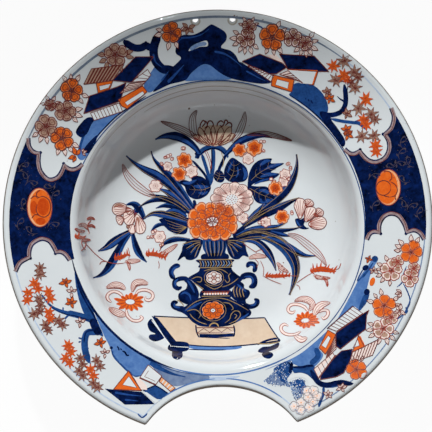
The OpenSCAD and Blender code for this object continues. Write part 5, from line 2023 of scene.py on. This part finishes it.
# %% Pavilions at the lower right
start_motif("lower_right_pavilions")
hatched([(68.4, -67.6), (84, -54.4), (90, -59), (73.4, -69.8)], 9, 0.4)
edge("cobalt", [(67.6, -68), (84.2, -54)], 0.8)
roof([(73, -70.8), (90, -59.4), (94, -57), (92.4, -60.4), (91.6, -69), (86, -73), (75.4, -81.2),
      (72.6, -79)])
framed([(68, -68.8), (72.8, -71.8), (70, -78), (66, -84.2), (62.2, -80)],
       [(68.2, -72.4), (69.6, -74), (66.4, -80.4), (63.8, -78.4)])
hatched([(72.6, -73.4), (72.8, -81), (66.4, -86.6), (67, -84)], 5, 0.5, "pink")
framed([(87, -72.8), (90.4, -80.2), (83, -83.2)], [(86.4, -75.4), (87.4, -79.4), (83.2, -80.6)])
edge("red", [(87.4, -73.4), (90.2, -80)], 1.6)
hatched([(83, -83.4), (99.4, -75.8), (95.2, -85.6), (80.4, -90.8)], 8, 0.5, "pink")
edge("cobalt", [(83, -83.2), (99.6, -75.6), (95.2, -85.6), (80.4, -90.8)], 0.6)
LOW_ROOF = [
    (82.8, -81.4), (76, -82.4), (71, -87), (62.6, -97.8), (62.4, -100.2), (72, -98.8), (77, -96.4),
    (80.6, -90), (82.6, -85),
]
roof(LOW_ROOF)
hatched([(58.6, -93.4), (70.6, -83.4), (71.8, -85.4), (61.4, -99.4)], 5, 0.4, "pink")
edge("reserve", [(61, -96.6), (71, -84.6)], 0.7)
edge("brown", [(61.6, -98.6), (72.4, -84.8)], 0.5)
print("lower right pavilions:", strokes_made, "strokes so far")

# %% The dotted rocks by the notch
start_motif("lower_right_rocks")
ROCKS = [
    [(27.6, -99.6), (33, -94.4), (37, -91.2), (40.4, -89), (43.4, -87.6), (45.4, -90), (44.6, -95.4),
     (42, -98.4), (42, -101), (44.6, -105), (40, -103.8), (35, -103.2), (30, -102.4)],
    [(42, -101.6), (45.4, -99.9), (50, -99), (52.6, -101), (53.4, -104.4), (52.4, -107.8), (49.6, -110.6),
     (46.6, -112.6), (44.8, -109), (44.4, -105)],
]
ROCK_CORES = [
    [(34.4, -94.4), (37.4, -91.4), (40.4, -89.2), (43.4, -87.8), (45.2, -90), (44.4, -95.4), (41.8, -98.6),
     (41.4, -101.4), (38, -100.6), (36.6, -97)],
    [(42.8, -101.8), (45.6, -100.2), (50, -99.3), (52.3, -101.2), (53, -104.4), (51.6, -107.6),
     (48.6, -105.6), (45, -104.4)],
]
STIPPLE = 300
random.seed(21)
for rock, core in zip(ROCKS, ROCK_CORES):
    left = min(x for x, y in rock)
    wide = max(x for x, y in rock) - left
    middle = sum(plan(rock), Vector((0, 0))) / len(rock)
    fill("mist", [middle.lerp(p, 0.94) for p in plan(rock)])
    fill("blue", core)
    for i in range(STIPPLE):
        side = random.randrange(len(rock))
        rock_edge = Vector(rock[side]).lerp(Vector(rock[side - 1]), random.random())
        at = middle.lerp(rock_edge, random.random() ** 0.5 * 1.06)
        across = (at.x - left) / wide
        pale = "white" if random.random() > 0.4 + 0.4 * across else "reserve_wash"
        tone = "blue" if random.random() < 0.2 + 0.55 * across else pale
        dot(tone, at, random.uniform(0.35, 0.8))
stroke("blue", [(33.4, -93.6), (38, -90.4), (42, -88.4)], 1.8)
stroke("cobalt", [(42.6, -88.6), (44.4, -89.6), (44.4, -92.4), (43.4, -96)], 2.2)
DARK_BANK = [
    (45.4, -91.4), (50, -91.6), (55, -90.6), (58.4, -90.6), (59.8, -95), (61.2, -99.4), (64, -102),
    (70, -101.6), (76, -100.6), (83.4, -103.6), (76, -104.2), (70, -105.4), (64, -105.2), (60, -103),
    (57.4, -99.6), (54, -96.6), (50, -95.4), (46, -95.4),
]
fill("blue", DARK_BANK)
stroke("cobalt", [(45.6, -91.8), (51, -92), (55, -91.2), (58.4, -91.4)], 1.5)
stroke("cobalt", [(56.6, -94), (59, -98.6), (62, -102.4), (67, -103.6), (74, -102.4), (83, -103.6)], 3.2)
ARCH = [(42.8, -99.6), (45, -97.8), (50, -97), (54, -98.6), (56.2, -101.8), (56, -105.6), (52.4, -110.4)]
stroke("white", ARCH, 2.4)
stroke("blue", [(64.2, -104.6), (64, -109), (62.4, -113), (60.8, -117.4)], 1.7)
GHOSTS = [
    (58, -107), (54.4, -111), (60, -110.4), (57.4, -114), (50, -114.4), (55, -117.4), (49.6, -119),
    (45.6, -116.6), (53.6, -107),
]
for i, at in enumerate(GHOSTS):
    fill("pink", scallop(at, 2.3, 5, 0.3, 30 * i))
    stroke("worn", scallop(at, 3.2, 5, 0.14, 30 * i), 0.3, "even", True)
    dot("peach", at, 1.0)
print("whole painting:", strokes_made, "strokes")

# %% [markdown]
# The lip was dressed with iron brown, which shows as a thin dark line all round the edge and on the cut
# face of the notch. It is a band of its own, drawn up ring by ring like the body, a hair above the glaze.
# Painted shade lies grey round the lower side of the holes and in the throwing lines below the well's edge.

# %% Brown dressing on the lip
DRESSING_LIFT = 0.04
UPPER_TURNS = (68, 74, 80, 85, 90)
LOWER_TURNS = (0, 15, 30, 45)

rings = [lip_ring(math.radians(t), False, DRESSING_LIFT) for t in UPPER_TURNS]
rings += [lip_ring(math.radians(t), True, DRESSING_LIFT) for t in LOWER_TURNS]
band = bmesh.new()
circle = bmesh.ops.create_circle(band, segments=len(angles), radius=1)["verts"]
circle.sort(key=lambda v: math.atan2(v.co.y, v.co.x))
for vert, place in zip(circle, rings[0]):
    vert.co = place
for places in rings[1:]:
    circle = grow_ring(band, circle, places)
bmesh.ops.recalc_face_normals(band, faces=band.faces)
films[("lip", "dressing")] = band
print("dressing:", len(band.faces), "faces")

# %% Chips, and painted shade by the holes and in the throwing lines
start_motif("wear")
# Painted shadow: a grey ring round the lower side of each hanging hole.
for side in (-1, 1):
    hole = (side * HOLE_PITCH / 2, math.sqrt(HOLE_CIRCLE_R**2 - (HOLE_PITCH / 2) ** 2))
    stroke("stain", arc(hole, 2.7, 150, 390), 1.1)
# Painted shade: faint grey arcs for the throwing lines on the shaded upper wall of the well.
for r, start, end in ((90.6, 25, 158), (88.2, 38, 146), (86.4, 60, 122)):
    stroke("stain", arc((0, 0), r, start, end), 0.3)
CHIPS = [
    (13, 130.6, 1.2), (14.6, 130.3, 0.8), (31, 127.6, 0.9), (51.4, 120.4, 1.1), (-17, 77, 1.6),
    (67.6, -115.4, 0.9),
]
for x, y, size in CHIPS:
    dot("dressing", (x, y), size, 0.7, 20)
print("wear:", strokes_made, "strokes in all")

# %% [markdown]
# Each motif's strokes of one pigment are one piece. The doubled points where a ring of brushwork closes
# are merged, the film's edge is marked sharp so that it doesn't glint like a rounded one, and Solidify
# gives the film its thickness downwards, so its underside is sunk in the glaze.

# %% Turn the films into pieces
FILM_THICKNESS = 0.34
SAME_POINT = 0.0002

for (motif_name, pigment_name), bm in films.items():
    bmesh.ops.remove_doubles(bm, verts=bm.verts, dist=SAME_POINT)
    for face in bm.faces:
        face.smooth = True
    for seam in bm.edges:
        seam.smooth = not seam.is_boundary
    piece = piece_from(bm, f"{motif_name}_{pigment_name}")
    piece.data.materials.append(PIGMENTS[pigment_name])
    body = piece.modifiers.new("film", "SOLIDIFY")
    body.thickness = FILM_THICKNESS * MM
    body.offset = -1.0
print(strokes_made, "strokes in", len(films), "films")

# %% [markdown]
# The camera looks almost straight down from far away, as for a museum record, leaning a few degrees
# towards the notch. Its place follows from that lean, a small roll, the distance and a small move in its
# own image plane.

# %% The camera
CAMERA_TILT = math.radians(6.0)
CAMERA_ROLL = math.radians(-1.05)
CAMERA_DISTANCE = 1800.0
CAMERA_AIM_Z = 60.0
CAMERA_MOVE = Vector((-1.035, 3.618, 0))
FOCAL_MM = 238.85
SENSOR_MM = 36.0
FAR_M = 10.0

camera_data = bpy.data.cameras.new("record_camera")
camera_data.lens = FOCAL_MM
camera_data.sensor_width = SENSOR_MM
camera_data.clip_end = FAR_M
camera = bpy.data.objects.new("record_camera", camera_data)
bpy.context.scene.collection.objects.link(camera)
lean = Matrix.Rotation(CAMERA_TILT, 4, "X") @ Matrix.Rotation(CAMERA_ROLL, 4, "Z")
camera_place = Vector((0, 0, CAMERA_AIM_Z)) + lean @ (CAMERA_MOVE + Vector((0, 0, CAMERA_DISTANCE)))
camera.matrix_world = Matrix.Translation(camera_place * MM) @ lean
bpy.context.scene.camera = camera
print("camera at", [round(c, 1) for c in camera_place], "mm")

# %% [markdown]
# One soft lamp stands high beyond the hanging holes, a little to the left. It is a spot that is
# feathered, as photographers say: aimed past the bowl towards the notch, so that the far side of the brim
# lies in the soft edge of its beam. Its size gives the soft edge of the shadow in the well. A broad weak
# lamp in front and the room fill the shadows. The camera sees most of the floor as plain white, with the
# bowl's soft shadow on it.

# %% Light and floor
KEY_AZIMUTH = math.radians(101)
KEY_ELEVATION = math.radians(47)
LAMP_DISTANCE = 1500.0
KEY_RADIUS = 38.0
KEY_AIM = Vector((115, -700, 50))
KEY_CONE = math.radians(35.5)
KEY_BLEND = 0.05
KEY_WATTS = 98.0
FRONT_AZIMUTH = math.radians(-80)
FRONT_ELEVATION = math.radians(8)
FRONT_SIZE = 900.0
FRONT_WATTS = 5.0
FILL_STRENGTH = 0.12
FLOOR_SIZE = 5.0
FLOOR_WHITE_SHARE = 0.96


def lamp(name, kind, watts, azimuth, elevation, aim):
    """A lamp at the lamps' distance from the bowl, in a direction, aimed at a point in millimetres."""
    data = bpy.data.lights.new(name, kind)
    data.energy = watts
    lit = bpy.data.objects.new(name, data)
    towards = Vector((math.cos(azimuth), math.sin(azimuth), math.tan(elevation))).normalized()
    lit.location = towards * LAMP_DISTANCE * MM
    lit.rotation_euler = (lit.location - aim * MM).to_track_quat("Z", "Y").to_euler()
    bpy.context.scene.collection.objects.link(lit)
    return lit


key = lamp("key_lamp", "SPOT", KEY_WATTS, KEY_AZIMUTH, KEY_ELEVATION, KEY_AIM)
key.data.shadow_soft_size = KEY_RADIUS * MM
key.data.spot_size = KEY_CONE
key.data.spot_blend = KEY_BLEND
key.data.color = linear("FCFFFF")[:3]
front = lamp("front_lamp", "AREA", FRONT_WATTS, FRONT_AZIMUTH, FRONT_ELEVATION, Vector((0, 0, 0)))
front.data.size = FRONT_SIZE * MM
front.visible_glossy = False

world = bpy.data.worlds.new("white_room")
bpy.context.scene.world = world
world.use_nodes = True
tree = world.node_tree
tree.nodes.clear()
rays = add_node(tree, "LightPath", {}).outputs["Is Camera Ray"]
room = add_node(tree, "Background", {"Color": linear("F2F7F8"), "Strength": FILL_STRENGTH})
plain = add_node(tree, "Background", {"Color": linear("FFFFFF"), "Strength": 1.0})
seen = add_node(tree, "MixShader", {0: rays, 1: room.outputs[0], 2: plain.outputs[0]})
add_node(tree, "OutputWorld", {"Surface": seen.outputs[0]})

white_floor = bpy.data.materials.new("white_ground")
white_floor.use_nodes = True
tree = white_floor.node_tree
tree.nodes.clear()
rays = add_node(tree, "LightPath", {}).outputs["Is Camera Ray"]
white_share = add_node(tree, "Math", {0: rays, 1: FLOOR_WHITE_SHARE}, operation="MULTIPLY")
paper = add_node(tree, "BsdfDiffuse", {"Color": linear("F2F2F2")})
glow = add_node(tree, "Emission", {"Color": linear("FFFFFF"), "Strength": 1.0})
seen = add_node(tree, "MixShader", {0: white_share.outputs[0], 1: paper.outputs[0], 2: glow.outputs[0]})
add_node(tree, "OutputMaterial", {"Surface": seen.outputs[0]})

bm = bmesh.new()
bmesh.ops.create_grid(bm, x_segments=1, y_segments=1, size=FLOOR_SIZE / 2)
floor_mesh = bpy.data.meshes.new("floor")
bm.to_mesh(floor_mesh)
bm.free()
floor = bpy.data.objects.new("floor", floor_mesh)
floor.data.materials.append(white_floor)
bpy.context.scene.collection.objects.link(floor)
bpy.context.scene.view_settings.view_transform = "Standard"
print("key lamp at", [round(c, 2) for c in key.location], "metres")
